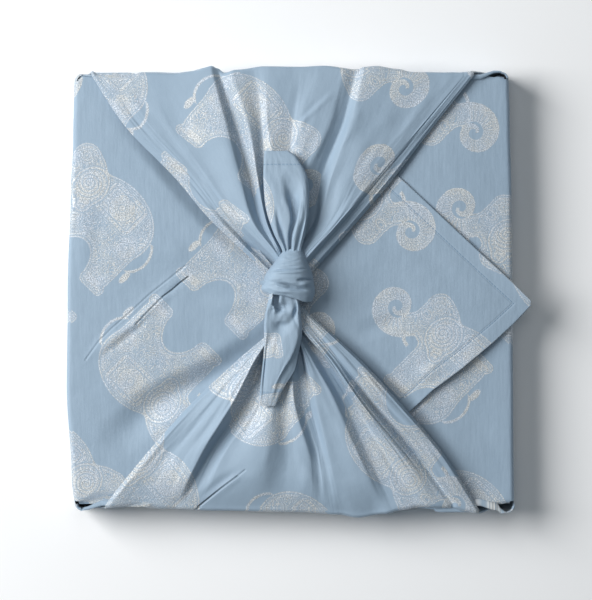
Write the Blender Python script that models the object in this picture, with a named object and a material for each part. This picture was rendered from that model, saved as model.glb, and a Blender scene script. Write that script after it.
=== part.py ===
"""A furoshiki: one square cloth folded round a flat square parcel and tied on top.

Metres, +Z up. The origin is the middle of the underside, where the wrap rests.
West flap, east flap, north and south gathers, and the knot are one piece of cloth, so they are one solid.
The parcel itself is left out, so the cloth is hollow.
"""

import math

import bpy
import numpy as np

MM = 0.001

# The cloth and the parcel that it fits.
CLOTH = 1.5 * MM  # thickness of one layer
WALL_OUT = 150.0 * MM  # middle of the standing walls, from the centre, at the floor
CORNER_R = 4.5 * MM
FLOOR_R = 3.0 * MM  # bend from the floor to a wall
RIM_R = 3.0 * MM  # bend from a wall to the top
FLOOR_INSET = 14.0 * MM  # the flat contact face starts this far inside the walls

# Heights of the middle of each layer on top.
EAST_Z = 30.0 * MM
WEST_Z = 32.2 * MM
RETURN_Z = 34.3 * MM  # the cloth turned under along a gather's slanting edges
RETURN_W = 7.0 * MM
RETURN_NARROWS = 0.55  # share of that width lost on the way to the knot
RETURN_SLANT = 0.35  # how far it lies back toward the rim, as a share of its width
RETURN_BELOW = 1.1 * MM  # the most it lies below the edge

# Gentle swells that every layer on top shares, in mm.
SWELL_COLUMNS = ("x", "y", "radius", "height")
SWELLS = [
    (-92, 52, 44, 0.9),
    (-104, -82, 30, -0.8),
    (-58, -56, 26, -0.9),
    (62, 18, 34, 0.7),
    (112, 74, 36, 0.8),
    (108, -88, 40, -0.6),
    (-10, 118, 42, 0.8),
    (18, -116, 44, 0.7),
]

# Where each wall's top stands: distance along the wall (x or y) and distance out from the centre, in mm.
# A wing is the cloth that goes on round a corner and lies behind the end panels.
OUTLINE = {
    "north": [(-152, 149), (-134, 149.4), (-106, 148.6), (-98, 150.5), (-54, 153.2), (-44, 149.8),
              (-20, 153.2), (24, 153.3), (46, 151.2), (58, 153.2), (82, 150), (124, 149.6),
              (140, 151.0), (152, 149)],
    "south": [(-152, 148), (-142, 150), (-126, 149.6), (-98, 148.6), (-70, 150.2), (0, 152.0),
              (44, 155.6), (62, 153.0), (88, 149.4), (112, 149.6), (128, 151.2), (152, 151)],
    "north_wing": [(-152, 147.6), (-137, 147.3), (-110, 146.9), (108, 146.9), (127, 147.4),
                   (143, 149.8), (152, 149.2)],
    "south_wing": [(-152, 149.0), (-142, 151.3), (-133, 149.0), (-108, 146.7), (104, 146.9),
                   (128, 149.0), (140, 153.6), (146, 152.2), (152, 150.4)],
    "west": [(-152, 147.5), (-130, 150), (-66, 153.8), (0, 153.2), (70, 151), (152, 148)],
    "east": [(-152, 153.2), (-60, 153), (10, 152.2), (90, 150.5), (152, 149.6)],
}
WING_TOP = {"nw": 32.4, "ne": 32.6, "sw": 32.6, "se": 32.6}  # height of each corner's free edge, in mm
WING_REACH = (5.0 * MM, 14.0 * MM, 26.0 * MM)  # columns of a wing, from the corner
WING_START = 144.0 * MM  # where a corner ends and its wing starts
WING_LOW = 5.0 * MM  # a wing's lower edge
WING_BEHIND = 2.2 * MM  # a wing stands this far in from the walls at its foot
WING_FLARE = 3.0 * MM  # and its first column leans out this far by its top
WING_STEP = 0.5 * MM  # how far behind the corner's outline its wing starts, at the top
WALL_SHARES = (0.14, 0.55, 1.0)  # rows of a standing wall, as shares of its height
CORNER_ALONG = (152.0 * MM, 148.0 * MM)  # where along y and x the outlines are read for a corner
PANEL_FOOT = 141.0 * MM  # half the width of an end panel where it leaves the floor
PANEL_SHARES = (0.5, 1.0)  # rows of an end panel, as shares of its height

# One row for each fold line of the north gather, west to east, in mm. A line runs from the parcel's edge
# (rim_x, rim_z) by a middle point to the neck of the knot. crisp is 0 for a round fold and 1 for a sharp one.
FOLD_COLUMNS = ("rim_x", "rim_z", "mid_x", "mid_y", "mid_z", "neck_x", "neck_y", "neck_z", "crisp")
NORTH_FOLDS = [
    (-135.5, 35.4, -75.9, 81.5, 35.6, -16.3, 13.8, 37.4, 1.0),  # west edge
    (-128.0, 36.5, -71.5, 82.0, 37.4, -15.3, 15.2, 40.0, 0.4),
    (-94.0, 36.5, -56.0, 83.0, 37.6, -13.0, 18.0, 39.4, 0.0),  # flat panel
    (-52.6, 38.6, -30.7, 85.8, 43.6, -10.8, 22.7, 47.0, 0.7),  # long crest
    (-45.0, 36.5, -26.0, 85.8, 37.6, -8.4, 24.0, 40.6, 0.3),
    (-19.7, 37.8, -18.0, 85.8, 42.6, -5.3, 26.8, 47.0, 0.5),
    (4.9, 36.5, -5.3, 85.8, 38.8, -1.9, 27.5, 41.6, 0.0),
    (24.1, 37.8, 7.7, 85.8, 42.0, 2.2, 28.2, 46.6, 0.3),
    (42.0, 36.5, 25.5, 85.8, 37.8, 6.6, 27.5, 40.4, 0.3),
    (57.0, 38.4, 37.1, 85.8, 43.0, 9.7, 24.8, 46.6, 0.7),  # east crest
    (88.5, 36.5, 54.2, 83.7, 37.8, 12.5, 20.7, 40.4, 0.0),
    (113.0, 37.4, 67.0, 84.0, 41.4, 14.5, 17.3, 44.6, 0.8),  # lip beside the east edge
    (118.5, 36.5, 70.4, 82.4, 38.2, 15.8, 16.2, 40.6, 0.4),
    (124.1, 35.4, 74.0, 81.0, 35.6, 16.9, 15.2, 37.4, 1.0),  # east edge
]
SOUTH_FOLDS = [
    (-125.9, 35.4, -75.9, -86.9, 35.6, -9.5, -26.6, 37.4, 1.0),  # west edge
    (-119.0, 36.6, -71.5, -86.9, 39.6, -8.5, -25.2, 42.4, 0.8),
    (-96.5, 37.4, -60.1, -86.9, 41.4, -6.7, -24.5, 44.6, 0.2),
    (-75.2, 36.5, -46.4, -86.9, 36.8, -4.7, -22.5, 38.4, 0.3),  # deep trough
    (-58.8, 37.8, -32.7, -86.9, 42.0, -2.6, -21.1, 45.0, 0.4),
    (-19.7, 36.5, -17.0, -86.9, 38.6, -0.5, -19.7, 39.4, 0.0),
    (6.3, 36.8, -0.5, -86.9, 40.8, 1.2, -19.0, 43.6, 0.2),
    (25.5, 36.5, 11.8, -86.9, 38.4, 2.9, -18.4, 39.0, 0.0),
    (45.3, 38.6, 24.1, -86.9, 42.2, 4.6, -18.4, 45.0, 0.4),
    (73.4, 36.5, 39.9, -86.9, 36.8, 6.6, -18.7, 37.4, 0.3),  # deepest trough
    (109.7, 37.4, 56.3, -86.9, 43.2, 9.0, -19.7, 45.6, 0.7),
    (116.6, 36.5, 68.6, -86.9, 37.0, 10.8, -18.4, 38.8, 0.3),
    (122.0, 37.2, 75.3, -87.2, 40.6, 12.0, -17.2, 42.4, 0.5),
    (127.6, 35.4, 80.3, -86.9, 35.6, 13.0, -16.0, 37.4, 1.0),  # east edge
]
FOLD_STEPS = 3  # columns from one fold line to the next
GATHER_ROWS = 10  # rows from the parcel's edge to the end inside the knot
NECK_IN = 0.35  # how far the last row goes on from the neck to the knot's middle
KNOT_MIDDLE = (-1.0 * MM, 6.0 * MM, 42.0 * MM)

# The two plain flaps. north and south are where a flap turns down over the parcel's ends, as tables of
# distances along x and y, and foot is how far out the turned edge hangs. rows are the places along x that
# are drawn, the last being where the hems start to slant to the tip. All in mm.
FLAPS = {
    "west": {
        "north": [(-152, 144.4), (-138, 145.2), (152, 145.2)],
        "south": [(-152, -144.2), (-146, -143.4), (-136, -139.6), (-120, -139.4), (-104, -143.6),
                  (152, -144.8)],
        "foot": (145.9, -145.2),
        "rows": (-141, -131, -121, -106, -96, -86, -78, -71, -60, -45, -22, 4),
        "tip": (163.6, -8.8),
        "columns": (5, 7),
    },
    "east": {
        "north": [(-152, 142.6), (20, 142.6), (90, 144.8), (152, 144.8)],
        "south": [(-152, -142.6), (20, -142.6), (90, -144.6), (152, -144.6)],
        "foot": (143.4, -143.2),
        "rows": (141, 126, 105, 80, 50, 20, -10),
        "tip": (-146.0, 1.0),
        "columns": (5, 5),
    },
}
TIP_ROWS = (0.25, 0.5, 0.7, 0.86, 1.0)  # shares of the way from the last row to the tip
# The pressed crease that slants over a flap, as places along x and y, and its ridge, in mm.
CREASE = {
    "west": [(-152, -66), (-149, -63.5), (-141, -49.5), (-121, -32), (-106, -21.5), (-86, -3.2), (-71, 13.4),
             (-60, 18), (4, 18)],
    "east": [(-10, 0), (152, 0)],
}
CREASE_HALF = 3.8
CREASE_HEIGHT = {"west": 1.0, "east": 0.0}
CREASE_END = {"west": -74.0, "east": 0.0}  # the ridge is flat beyond this place along x
EAR = 7.0 * MM  # how far a flap's sides hang down over the parcel's ends
EAR_FADE = 12.0  # the ears shrink over this distance before the hems slant, in mm
EAR_START = 6.0  # and grow over this distance from the shoulder, in mm
EAR_LEAST = 0.2  # share of their drop at the shoulder
EAR_BEND = (0.6, 0.16)  # where an ear bends, as shares of its way out and of its drop
EAR_OUT = 0.25  # the least share of its way out
HEM_STEP = 0.8  # how far beyond the flap's edge a slanting hem ends, in mm
RIM_SWELL = 0.7  # share of the swells where a flap comes over the rim
TIP_W = 1.2 * MM  # half the blunt end of a flap's tip
# The west flap's lower hem lifts and bows out between the gather and its tip: place, lift and bow, in mm.
HEM_LIFT = 3.2 * MM
HEM_BOW = 2.6 * MM
HEM_FROM = 0.4  # share of the way to the tip where the lift starts

# The knot's band, one row for each ring from its narrow north end to its flared south mouth, in mm.
BAND_COLUMNS = ("west_x", "west_y", "east_x", "east_y", "side_z", "top_z")
BAND_RINGS = [
    (-6.4, 26.5, 6.7, 28.2, 44.0, 51.0),
    (-9.8, 20.6, 10.4, 21.6, 42.5, 55.0),
    (-15.8, 13.0, 13.4, 13.6, 41.0, 58.4),
    (-19.4, 5.0, 16.9, 6.6, 41.0, 60.2),
    (-20.4, 1.6, 15.3, 2.4, 41.5, 60.0),
    (-20.2, 0.6, 16.6, -1.6, 42.0, 59.0),
    (-19.0, 0.0, 15.0, -6.4, 43.0, 57.4),
]
BAND_BELOW_Z = 35.0  # the underside of the knot, in mm
BAND_BELOW_EDGE = 1.2 * MM  # how much higher its sides are
BAND_BELOW_WIDE = 0.72  # width of the underside, as a share of the ring's
BAND_FULLER = 0.10  # how much a ring's arch is fuller than round
BAND_FLATTER = 0.8  # power of the arch's height: less than 1 makes its top flatter
BAND_STEPS = 14  # points round a ring's arch

# The two free ends. One row for each station from the knot to the tip, in mm: place along y, the two
# sides, then the heights of both sides, both lips and the hollow between them.
TAIL_COLUMNS = ("y", "west_x", "east_x", "west_z", "west_lip", "hollow", "east_lip", "east_z")
NORTH_TAIL = [
    (20.0, -3.4, 4.4, 50.0, 51.6, 49.4, 51.8, 50.0),
    (30.0, -6.6, 7.8, 50.6, 53.0, 49.8, 53.6, 50.8),
    (38.5, -11.7, 9.7, 50.4, 53.6, 49.6, 54.6, 51.0),
    (50.1, -17.0, 12.1, 49.8, 53.6, 49.6, 55.2, 51.0),
    (65.2, -18.4, 12.5, 48.8, 52.4, 49.6, 54.4, 50.2),
    (80.3, -18.8, 10.4, 47.2, 50.4, 49.0, 52.0, 48.8),
    (90.6, -18.0, 4.7, 46.6, 49.0, 48.2, 49.6, 47.6),
    (95.2, -17.7, -2.8, 46.4, 48.0, 47.6, 48.2, 47.2),
]
SOUTH_TAIL = [
    (3.0, -11.0, 6.0, 50.4, 52.4, 51.8, 52.4, 50.4),
    (-6.0, -14.4, 7.4, 49.4, 54.2, 52.6, 54.4, 50.4),
    (-19.0, -17.4, 6.8, 48.4, 53.4, 51.0, 53.8, 49.6),
    (-36.2, -18.1, 6.3, 46.6, 51.4, 50.4, 52.0, 47.8),
    (-56.0, -19.7, 2.4, 45.4, 48.8, 48.2, 49.4, 46.2),
    (-66.3, -20.7, -4.0, 44.8, 47.4, 46.8, 47.8, 45.4),
    (-75.2, -21.6, -9.4, 44.2, 46.0, 45.6, 46.4, 44.6),
    (-79.0, -21.8, -11.6, 44.0, 45.4, 45.2, 45.6, 44.2),
]
TAIL_ACROSS = (0.0, 0.16, 0.5, 0.84, 1.0)  # the places of those heights across a tail
TAIL_ROWS = 12
TAIL_STEPS = 2  # columns between two named points of a tail's section

CLOTH_COLOUR = (0.36, 0.50, 0.66, 1.0)
CLOTH_ROUGHNESS = 0.6


def clear_scene():
    for obj in list(bpy.data.objects):
        bpy.data.objects.remove(obj)


def cloth_material():
    material = bpy.data.materials.new("printed_cotton")
    material.use_nodes = True
    shader = material.node_tree.nodes["Principled BSDF"]
    shader.inputs["Base Color"].default_value = CLOTH_COLOUR
    shader.inputs["Roughness"].default_value = CLOTH_ROUGHNESS
    shader.inputs["Metallic"].default_value = 0.0
    return material


def eased(t, start=0.0, end=0.0):
    """0 to 1 as t goes from 0 to 1, with these slopes at its two ends: flat at 0, straight at 1."""
    rise = t * t * (3 - 2 * t)
    return rise + start * (t**3 - 2 * t**2 + t) + end * (t**3 - t**2)


def along(table, place):
    """The second column of a table of pairs at this place in its first column, eased between rows."""
    for (low, before), (high, after) in zip(table, table[1:]):
        if place <= high:
            t = max(0.0, (place - low) / (high - low))
            return (before + (after - before) * eased(t)) * MM
    return table[-1][1] * MM


def straight(table, place):
    """The second column of a table of pairs at this place in its first column, straight between rows."""
    return float(np.interp(place, [row[0] for row in table], [row[1] for row in table]))


def swell(x, y):
    """How much every layer on top rises here."""
    total = 0.0
    for row in SWELLS:
        s = dict(zip(SWELL_COLUMNS, row))
        away = ((x / MM - s["x"]) ** 2 + (y / MM - s["y"]) ** 2) / s["radius"] ** 2
        total += s["height"] * MM * math.exp(-away)
    return total


def smooth_path(stations, count):
    """count points evenly spaced in t on a smooth curve through stations, a list of equal-length arrays."""
    stations = np.array(stations, float)
    slopes = np.gradient(stations, axis=0)
    points = []
    for t in np.linspace(0, len(stations) - 1, count):
        i = min(int(t), len(stations) - 2)
        f = t - i
        points.append(
            stations[i] * (2 * f**3 - 3 * f**2 + 1)
            + stations[i + 1] * (3 * f**2 - 2 * f**3)
            + slopes[i] * (f**3 - 2 * f**2 + f)
            + slopes[i + 1] * (f**3 - f**2)
        )
    return points


def side_point(side, place, out, z):
    """A point at this distance along a side (x or y) and out from the centre."""
    return {
        "north": (place, out, z),
        "south": (place, -out, z),
        "west": (-out, place, z),
        "east": (out, place, z),
    }[side]


class Sheet:
    """The middle surface of the cloth: points and faces, joined where they share points."""

    def __init__(self):
        self.points = []
        self.faces = []

    def add(self, point):
        self.points.append(tuple(float(c) for c in point))
        return len(self.points) - 1

    def add_row(self, points):
        return [self.add(p) for p in points]

    def bridge(self, row, next_row, flip=False):
        """Faces between two equally long rows of points."""
        for i in range(len(row) - 1):
            face = (row[i], row[i + 1], next_row[i + 1], next_row[i])
            self.faces.append(face[::-1] if flip else face)

    def object(self, name):
        mesh = bpy.data.meshes.new(name)
        mesh.from_pydata(self.points, [], self.faces)
        mesh.update()
        obj = bpy.data.objects.new(name, mesh)
        bpy.context.scene.collection.objects.link(obj)
        return obj


def fold_columns(folds, sign):
    """Every column of a gather: its rim place and height, and its path from the rim to the knot."""
    lines = [dict(zip(FOLD_COLUMNS, row)) for row in folds]
    columns = []
    for k, line in enumerate(lines):
        steps = FOLD_STEPS if k + 1 < len(lines) else 1
        after = lines[min(k + 1, len(lines) - 1)]
        for step in range(steps):
            t = step / FOLD_STEPS
            bend = eased(t, line["crisp"], after["crisp"])
            mix = {
                key: (line[key] + (after[key] - line[key]) * (bend if key.endswith("_z") else t)) * MM
                for key in FOLD_COLUMNS
            }
            columns.append(mix)
    for mix in columns:
        side = "north" if sign > 0 else "south"
        out = along(OUTLINE[side], mix["rim_x"] / MM)
        start = np.array((mix["rim_x"], sign * (out - RIM_R), mix["rim_z"]))
        middle = np.array((mix["mid_x"], mix["mid_y"], mix["mid_z"]))
        neck = np.array((mix["neck_x"], mix["neck_y"], mix["neck_z"]))
        end = neck + (np.array(KNOT_MIDDLE) - neck) * NECK_IN
        path = smooth_path([start, middle, neck, end], GATHER_ROWS)
        mix["path"] = [np.array((x, y, z + swell(x, y))) for x, y, z in path]
    return columns


def add_gather(sheet, wall_top, columns, sign):
    """The cloth from a wall's top over the rim and in to the knot, with its slanting edges turned under."""
    side = "north" if sign > 0 else "south"
    bend = RIM_R * (1 - math.sqrt(0.5))
    over = [
        side_point(side, c["rim_x"], along(OUTLINE[side], c["rim_x"] / MM) - bend, c["rim_z"] - bend)
        for c in columns
    ]
    rows = [wall_top, sheet.add_row(over)]
    for step in range(GATHER_ROWS):
        rows.append(sheet.add_row(c["path"][step] for c in columns))
    flip = sign > 0
    for row, next_row in zip(rows, rows[1:]):
        sheet.bridge(row, next_row, flip)
    for edge, inward in ((0, 1), (len(columns) - 1, -1)):
        pairs = []
        for step in range(GATHER_ROWS):
            wide = RETURN_W * (1 - RETURN_NARROWS * step / (GATHER_ROWS - 1))
            x, y, z = columns[edge]["path"][step]
            low = z - min(z - swell(x, y) - RETURN_Z, RETURN_BELOW)
            under = sheet.add((x + inward * wide, y + sign * wide * RETURN_SLANT, low))
            at_edge = rows[step + 2][edge]
            pairs.append((under, at_edge) if inward > 0 else (at_edge, under))
        for pair, next_pair in zip(pairs, pairs[1:]):
            sheet.bridge(pair, next_pair, flip)


def flap_stations(side, x):
    """The places along y of a flap's columns at x, from south to north, and each one's share of the ridge."""
    flap = FLAPS[side]
    slant = flap["rows"][-1]
    toward = 1 if flap["tip"][0] > slant else -1
    inside = x if (slant - x) * toward > 0 else slant
    south, north = (straight(flap[name], inside) for name in ("south", "north"))
    ridge = straight(CREASE[side], inside)
    below, above = flap["columns"]
    places = list(np.linspace(south, ridge - CREASE_HALF, below + 1))
    places += [ridge] + list(np.linspace(ridge + CREASE_HALF, north, above + 1))
    height = CREASE_HEIGHT[side] if x < CREASE_END[side] else 0.0
    ridged = [0.0] * (below + 1) + [height] + [0.0] * (above + 1)
    gone = max(0.0, (x - slant) / (flap["tip"][0] - slant))
    tip_y = flap["tip"][1]
    half = TIP_W / MM
    narrowed = [
        y + (tip_y + (2 * (y - south) / (north - south) - 1) * half - y) * gone for y in places
    ]
    return narrowed, ridged, gone


def flap_row(side, x, place_x):
    """One row of a flap, from its south ear to its north ear. place_x gives the x of each column."""
    flap = FLAPS[side]
    level = (WEST_Z if side == "west" else EAST_Z) / MM
    slant = flap["rows"][-1]
    places, ridged, gone = flap_stations(side, x)
    toward = 1 if flap["tip"][0] > slant else -1
    shoulder = -toward * (WALL_OUT - RIM_R) / MM
    drop = EAR / MM * (1 - eased(min(1.0, max(0.0, 1 + (x - slant) * toward / EAR_FADE))))
    drop *= EAR_LEAST + (1 - EAR_LEAST) * eased(min(1.0, abs(x - shoulder) / EAR_START))
    points = []
    for i, (y, ridge) in enumerate(zip(places, ridged)):
        lift = 0.0
        if side == "west" and gone > 0:
            hump = math.sin(math.pi * min(1.0, max(0.0, (gone - HEM_FROM) / (1 - HEM_FROM)))) ** 2
            near_hem = (1 - i / (len(places) - 1)) ** 2
            lift = HEM_LIFT / MM * hump * near_hem
            y -= HEM_BOW / MM * hump * near_hem
        points.append((place_x(y), y, level + ridge + lift))
    foot_north, foot_south = flap["foot"]
    fade = drop / (EAR / MM)
    ends = []
    for (px, py, pz), foot in ((points[0], foot_south), (points[-1], foot_north)):
        out = foot if gone == 0 else py + math.copysign(HEM_STEP, foot)
        out = py + (out - py) * max(fade, EAR_OUT)
        half = (px, py + (out - py) * EAR_BEND[0], pz - drop * EAR_BEND[1])
        low = (px, out, pz - drop)
        ends.append((half, low))
    row = [ends[0][1], ends[0][0]] + points + [ends[1][0], ends[1][1]]
    return [(px * MM, py * MM, pz * MM + swell(px * MM, py * MM)) for px, py, pz in row]


def add_flap(sheet, side, wall_top, places):
    """A plain flap from a wall's top over the parcel to its tip."""
    flap = FLAPS[side]
    level = WEST_Z if side == "west" else EAST_Z
    flip = side == "west"
    sign = -1 if side == "west" else 1
    bend = RIM_R * (1 - math.sqrt(0.5))

    def over_x(y):
        return sign * (along(OUTLINE[side], y) - RIM_R) / MM

    edge_points = []
    for y in places:
        z = level - bend + swell(sign * WALL_OUT, y) * RIM_SWELL
        edge_points.append(side_point(side, y, along(OUTLINE[side], y / MM) - bend, z))
    edge = sheet.add_row(edge_points)
    sheet.bridge(wall_top, edge, flip)
    shoulder_x = sign * (WALL_OUT - RIM_R) / MM
    rows = [sheet.add_row(flap_row(side, shoulder_x, over_x))]
    sheet.bridge(edge, rows[0][2:-2], flip)
    slant, tip_x = flap["rows"][-1], flap["tip"][0]
    stops = list(flap["rows"]) + [slant + (tip_x - slant) * share for share in TIP_ROWS]
    for x in stops:
        rows.append(sheet.add_row(flap_row(side, x, lambda y, x=x: x)))
    for row, next_row in zip(rows, rows[1:]):
        sheet.bridge(row, next_row, flip)


# Walls, once round against the clock from the middle of the east side.
ROUND = ("east", "ne", "north", "nw", "west", "sw", "south", "se")
CORNERS = {  # x side, y side, and the angle where each corner's quarter turn starts
    "ne": ("east", "north", 0.0),
    "nw": ("west", "north", 90.0),
    "sw": ("west", "south", 180.0),
    "se": ("east", "south", 270.0),
}
CORNER_SHARES = (0.1, 0.37, 0.63, 0.9)
FORWARD = {"east": 1, "north": -1, "west": -1, "south": 1}  # which way along x or y the round goes
SIGNS = {"east": 1, "north": 1, "west": -1, "south": -1}


def standing(name, place, share):
    """How far out the middle of a wall stands: share is 0 at the floor and 1 at its top."""
    swelling = 0.6 * MM * math.sin(math.pi * min(1.0, share))
    return WALL_OUT + (along(OUTLINE[name], place / MM) - WALL_OUT) * share + swelling


def corner_points(corner, share, z):
    """The points of a corner's quarter turn, in the order of the round."""
    x_side, y_side, start = CORNERS[corner]
    x_sign, y_sign = SIGNS[x_side], SIGNS[y_side]
    x_out = standing(x_side, y_sign * CORNER_ALONG[0], share) * x_sign
    wing = y_side + "_wing" if share > 0 else y_side
    y_out = standing(wing, x_sign * CORNER_ALONG[1], share) * y_sign
    cx, cy = x_out - x_sign * CORNER_R, y_out - y_sign * CORNER_R
    points = []
    for turn in CORNER_SHARES:
        angle = math.radians(start + 90 * turn)
        points.append((cx + CORNER_R * math.cos(angle), cy + CORNER_R * math.sin(angle), z))
    return points


def add_floor(sheet, panel_feet, wall_places):
    """The floor and its bend. Returns its upper rim as lists of points, one for each part of the round."""
    parts = []
    for name in ROUND:
        if name in CORNERS:
            parts.append((name, corner_points(name, 0.0, 0.0)))
        else:
            places = panel_feet[name] if name in panel_feet else wall_places[name]
            parts.append((name, [side_point(name, p, WALL_OUT, 0.0) for p in places]))
    low = CLOTH / 2
    bend = FLOOR_R * (1 - math.sqrt(0.5))
    rows = []
    for inset, z in ((FLOOR_INSET, low), (FLOOR_R, low), (bend, low + bend), (0.0, low + FLOOR_R)):
        scale = (WALL_OUT - inset) / WALL_OUT
        rows.append([sheet.add_row((x * scale, y * scale, z) for x, y, _ in points) for _, points in parts])
    rings = [[i for part in row for i in part] for row in rows]
    sheet.faces.append(tuple(rings[0][::-1]))
    for ring, next_ring in zip(rings, rings[1:]):
        sheet.bridge(ring + ring[:1], next_ring + next_ring[:1])
    return {name: part for (name, _), part in zip(parts, rows[-1])}


def add_side_wall(sheet, side, rim, places, top_z):
    """A standing wall with the corners at both its ends and the wings that go on from them. Returns its top."""
    at = ROUND.index(side)
    before, after = ROUND[at - 1], ROUND[(at + 1) % len(ROUND)]
    panel_before, panel_after = ROUND[at - 2], ROUND[(at + 2) % len(ROUND)]
    foot = [rim[panel_before][-1]] + rim[before] + rim[side] + rim[after] + [rim[panel_after][0]]
    low = CLOTH / 2 + FLOOR_R
    rows = [foot]
    for share in WALL_SHARES:
        points = []
        for corner, first in ((before, True), (after, False)):
            x_side, y_side, _ = CORNERS[corner]
            top = WING_TOP[corner] * MM
            z = low + (top - low) * share
            x = SIGNS[x_side] * WING_START
            start = (x, SIGNS[y_side] * (standing(y_side + "_wing", x, share) - WING_STEP * share), z)
            turn = corner_points(corner, share, z)
            points.append([start] + turn if first else turn + [start])
        wall = [side_point(side, p, standing(side, p, share), low + (top_z - low) * share) for p in places]
        rows.append(sheet.add_row(points[0] + wall + points[1]))
    for row, next_row in zip(rows, rows[1:]):
        sheet.bridge(row, next_row)
    for corner, column, order in ((before, 0, 1), (after, -1, -1)):
        x_side, y_side, _ = CORNERS[corner]
        wing = []
        for share, row in zip(WALL_SHARES, rows[1:]):
            top = WING_TOP[corner] * MM
            inner = []
            for n, reach in enumerate(WING_REACH):
                x = SIGNS[x_side] * (WING_START - reach)
                z = WING_LOW if share == WALL_SHARES[0] else low + (top - low) * share
                behind = WALL_OUT - WING_BEHIND + WING_FLARE * share * (n == 0)
                out = min(standing(y_side + "_wing", x, share), behind)
                inner.append((x, SIGNS[y_side] * out, z))
            wing.append([row[column]] + sheet.add_row(inner))
        for low_row, high_row in zip(wing, wing[1:]):
            sheet.bridge(low_row, high_row, flip=order > 0)
    count = len(CORNER_SHARES) + 1
    return rows[-1][count:-count]


def add_panel(sheet, side, foot, columns):
    """An end panel, from the floor to where it turns over the rim. Returns its top."""
    low = CLOTH / 2 + FLOOR_R
    feet = panel_feet(columns)
    rows = [foot]
    for share in PANEL_SHARES:
        points = []
        for column, place in zip(columns, feet):
            at = place + (column["rim_x"] - place) * share
            z = low + (column["rim_z"] - RIM_R - low) * share
            points.append(side_point(side, at, standing(side, at, share), z))
        rows.append(sheet.add_row(points))
    for row, next_row in zip(rows, rows[1:]):
        sheet.bridge(row, next_row, flip=side == "north")
    return rows[-1]


def panel_feet(columns):
    """Where an end panel's columns leave the floor, from west to east."""
    first, last = columns[0]["rim_x"], columns[-1]["rim_x"]
    return [PANEL_FOOT * (2 * (c["rim_x"] - first) / (last - first) - 1) for c in columns]


def wrapped_cloth():
    """The cloth but for its knot, as one thickened sheet."""
    sheet = Sheet()
    gathers = {"north": fold_columns(NORTH_FOLDS, 1), "south": fold_columns(SOUTH_FOLDS, -1)}
    walls = {}
    for side in FLAPS:
        places, _, _ = flap_stations(side, SIGNS[side] * (WALL_OUT - RIM_R) / MM)
        walls[side] = [y * MM for y in places]
    rim = add_floor(
        sheet,
        {side: panel_feet(columns)[:: FORWARD[side]] for side, columns in gathers.items()},
        {side: places[:: FORWARD[side]] for side, places in walls.items()},
    )
    for side, columns in gathers.items():
        top = add_panel(sheet, side, rim[side][:: FORWARD[side]], columns)
        add_gather(sheet, top, columns, SIGNS[side])
    for side, places in walls.items():
        level = (WEST_Z if side == "west" else EAST_Z) - RIM_R
        top = add_side_wall(sheet, side, rim, places[:: FORWARD[side]], level)
        add_flap(sheet, side, top[:: FORWARD[side]], places)
    obj = sheet.object("furoshiki_cloth")
    thicken(obj)
    return obj


def thicken(obj):
    """Gives a sheet the cloth's thickness, half on each side."""
    modifier = obj.modifiers.new("thickness", "SOLIDIFY")
    modifier.thickness = CLOTH
    modifier.offset = 0.0
    modifier.use_even_offset = False


def helper(obj):
    """Marks an object that only joins another one."""
    obj.hide_render = True
    obj.display_type = "WIRE"


def band():
    """The cloth that crosses over the knot: a flared lump, arched above and flat below."""
    sheet = Sheet()
    rings = []
    for row in BAND_RINGS:
        ring = {key: value * MM for key, value in zip(BAND_COLUMNS, row)}
        west = np.array((ring["west_x"], ring["west_y"]))
        east = np.array((ring["east_x"], ring["east_y"]))
        centre = (west + east) / 2
        points = []
        for i in range(BAND_STEPS + 1):
            angle = math.pi * i / BAND_STEPS
            fuller = 1 + BAND_FULLER * math.sin(2 * angle) ** 2
            side = centre + (east - west) / 2 * math.cos(angle) * fuller
            z = ring["side_z"] + (ring["top_z"] - ring["side_z"]) * math.sin(angle) ** BAND_FLATTER
            points.append((side[0], side[1], z))
        below = BAND_BELOW_Z * MM
        west_low = centre + (west - centre) * BAND_BELOW_WIDE
        east_low = centre + (east - centre) * BAND_BELOW_WIDE
        points.append((west_low[0], west_low[1], below + BAND_BELOW_EDGE))
        points.append((centre[0], centre[1], below))
        points.append((east_low[0], east_low[1], below + BAND_BELOW_EDGE))
        rings.append(sheet.add_row(points))
    for ring, next_ring in zip(rings, rings[1:]):
        sheet.bridge(ring + ring[:1], next_ring + next_ring[:1])
    sheet.faces.append(tuple(rings[0][::-1]))
    sheet.faces.append(tuple(rings[-1]))
    return sheet.object("knot_band")


def tail(name, table):
    """A free end of the tie: a strip with both sides turned up into lips."""
    stations = []
    for row in table:
        s = {key: value * MM for key, value in zip(TAIL_COLUMNS, row)}
        wide = s["east_x"] - s["west_x"]
        heights = (s["west_z"], s["west_lip"], s["hollow"], s["east_lip"], s["east_z"])
        stations.append([(s["west_x"] + wide * share, s["y"], z) for share, z in zip(TAIL_ACROSS, heights)])
    sheet = Sheet()
    rows = []
    for section in smooth_path(stations, TAIL_ROWS):
        count = TAIL_STEPS * (len(section) - 1) + 1
        rows.append(sheet.add_row(smooth_path(section, count)))
    northward = table[-1][0] > table[0][0]
    for row, next_row in zip(rows, rows[1:]):
        if northward:
            sheet.bridge(row, next_row)
        else:
            sheet.bridge(next_row, row)
    obj = sheet.object(name)
    thicken(obj)
    return obj


def join(obj, other):
    modifier = obj.modifiers.new("join_" + other.name, "BOOLEAN")
    modifier.operation = "UNION"
    modifier.solver = "EXACT"
    modifier.object = other
    helper(other)


def main():
    clear_scene()
    cloth = wrapped_cloth()
    for other in (band(), tail("north_tail", NORTH_TAIL), tail("south_tail", SOUTH_TAIL)):
        join(cloth, other)
    cloth.data.materials.append(cloth_material())


main()
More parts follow.
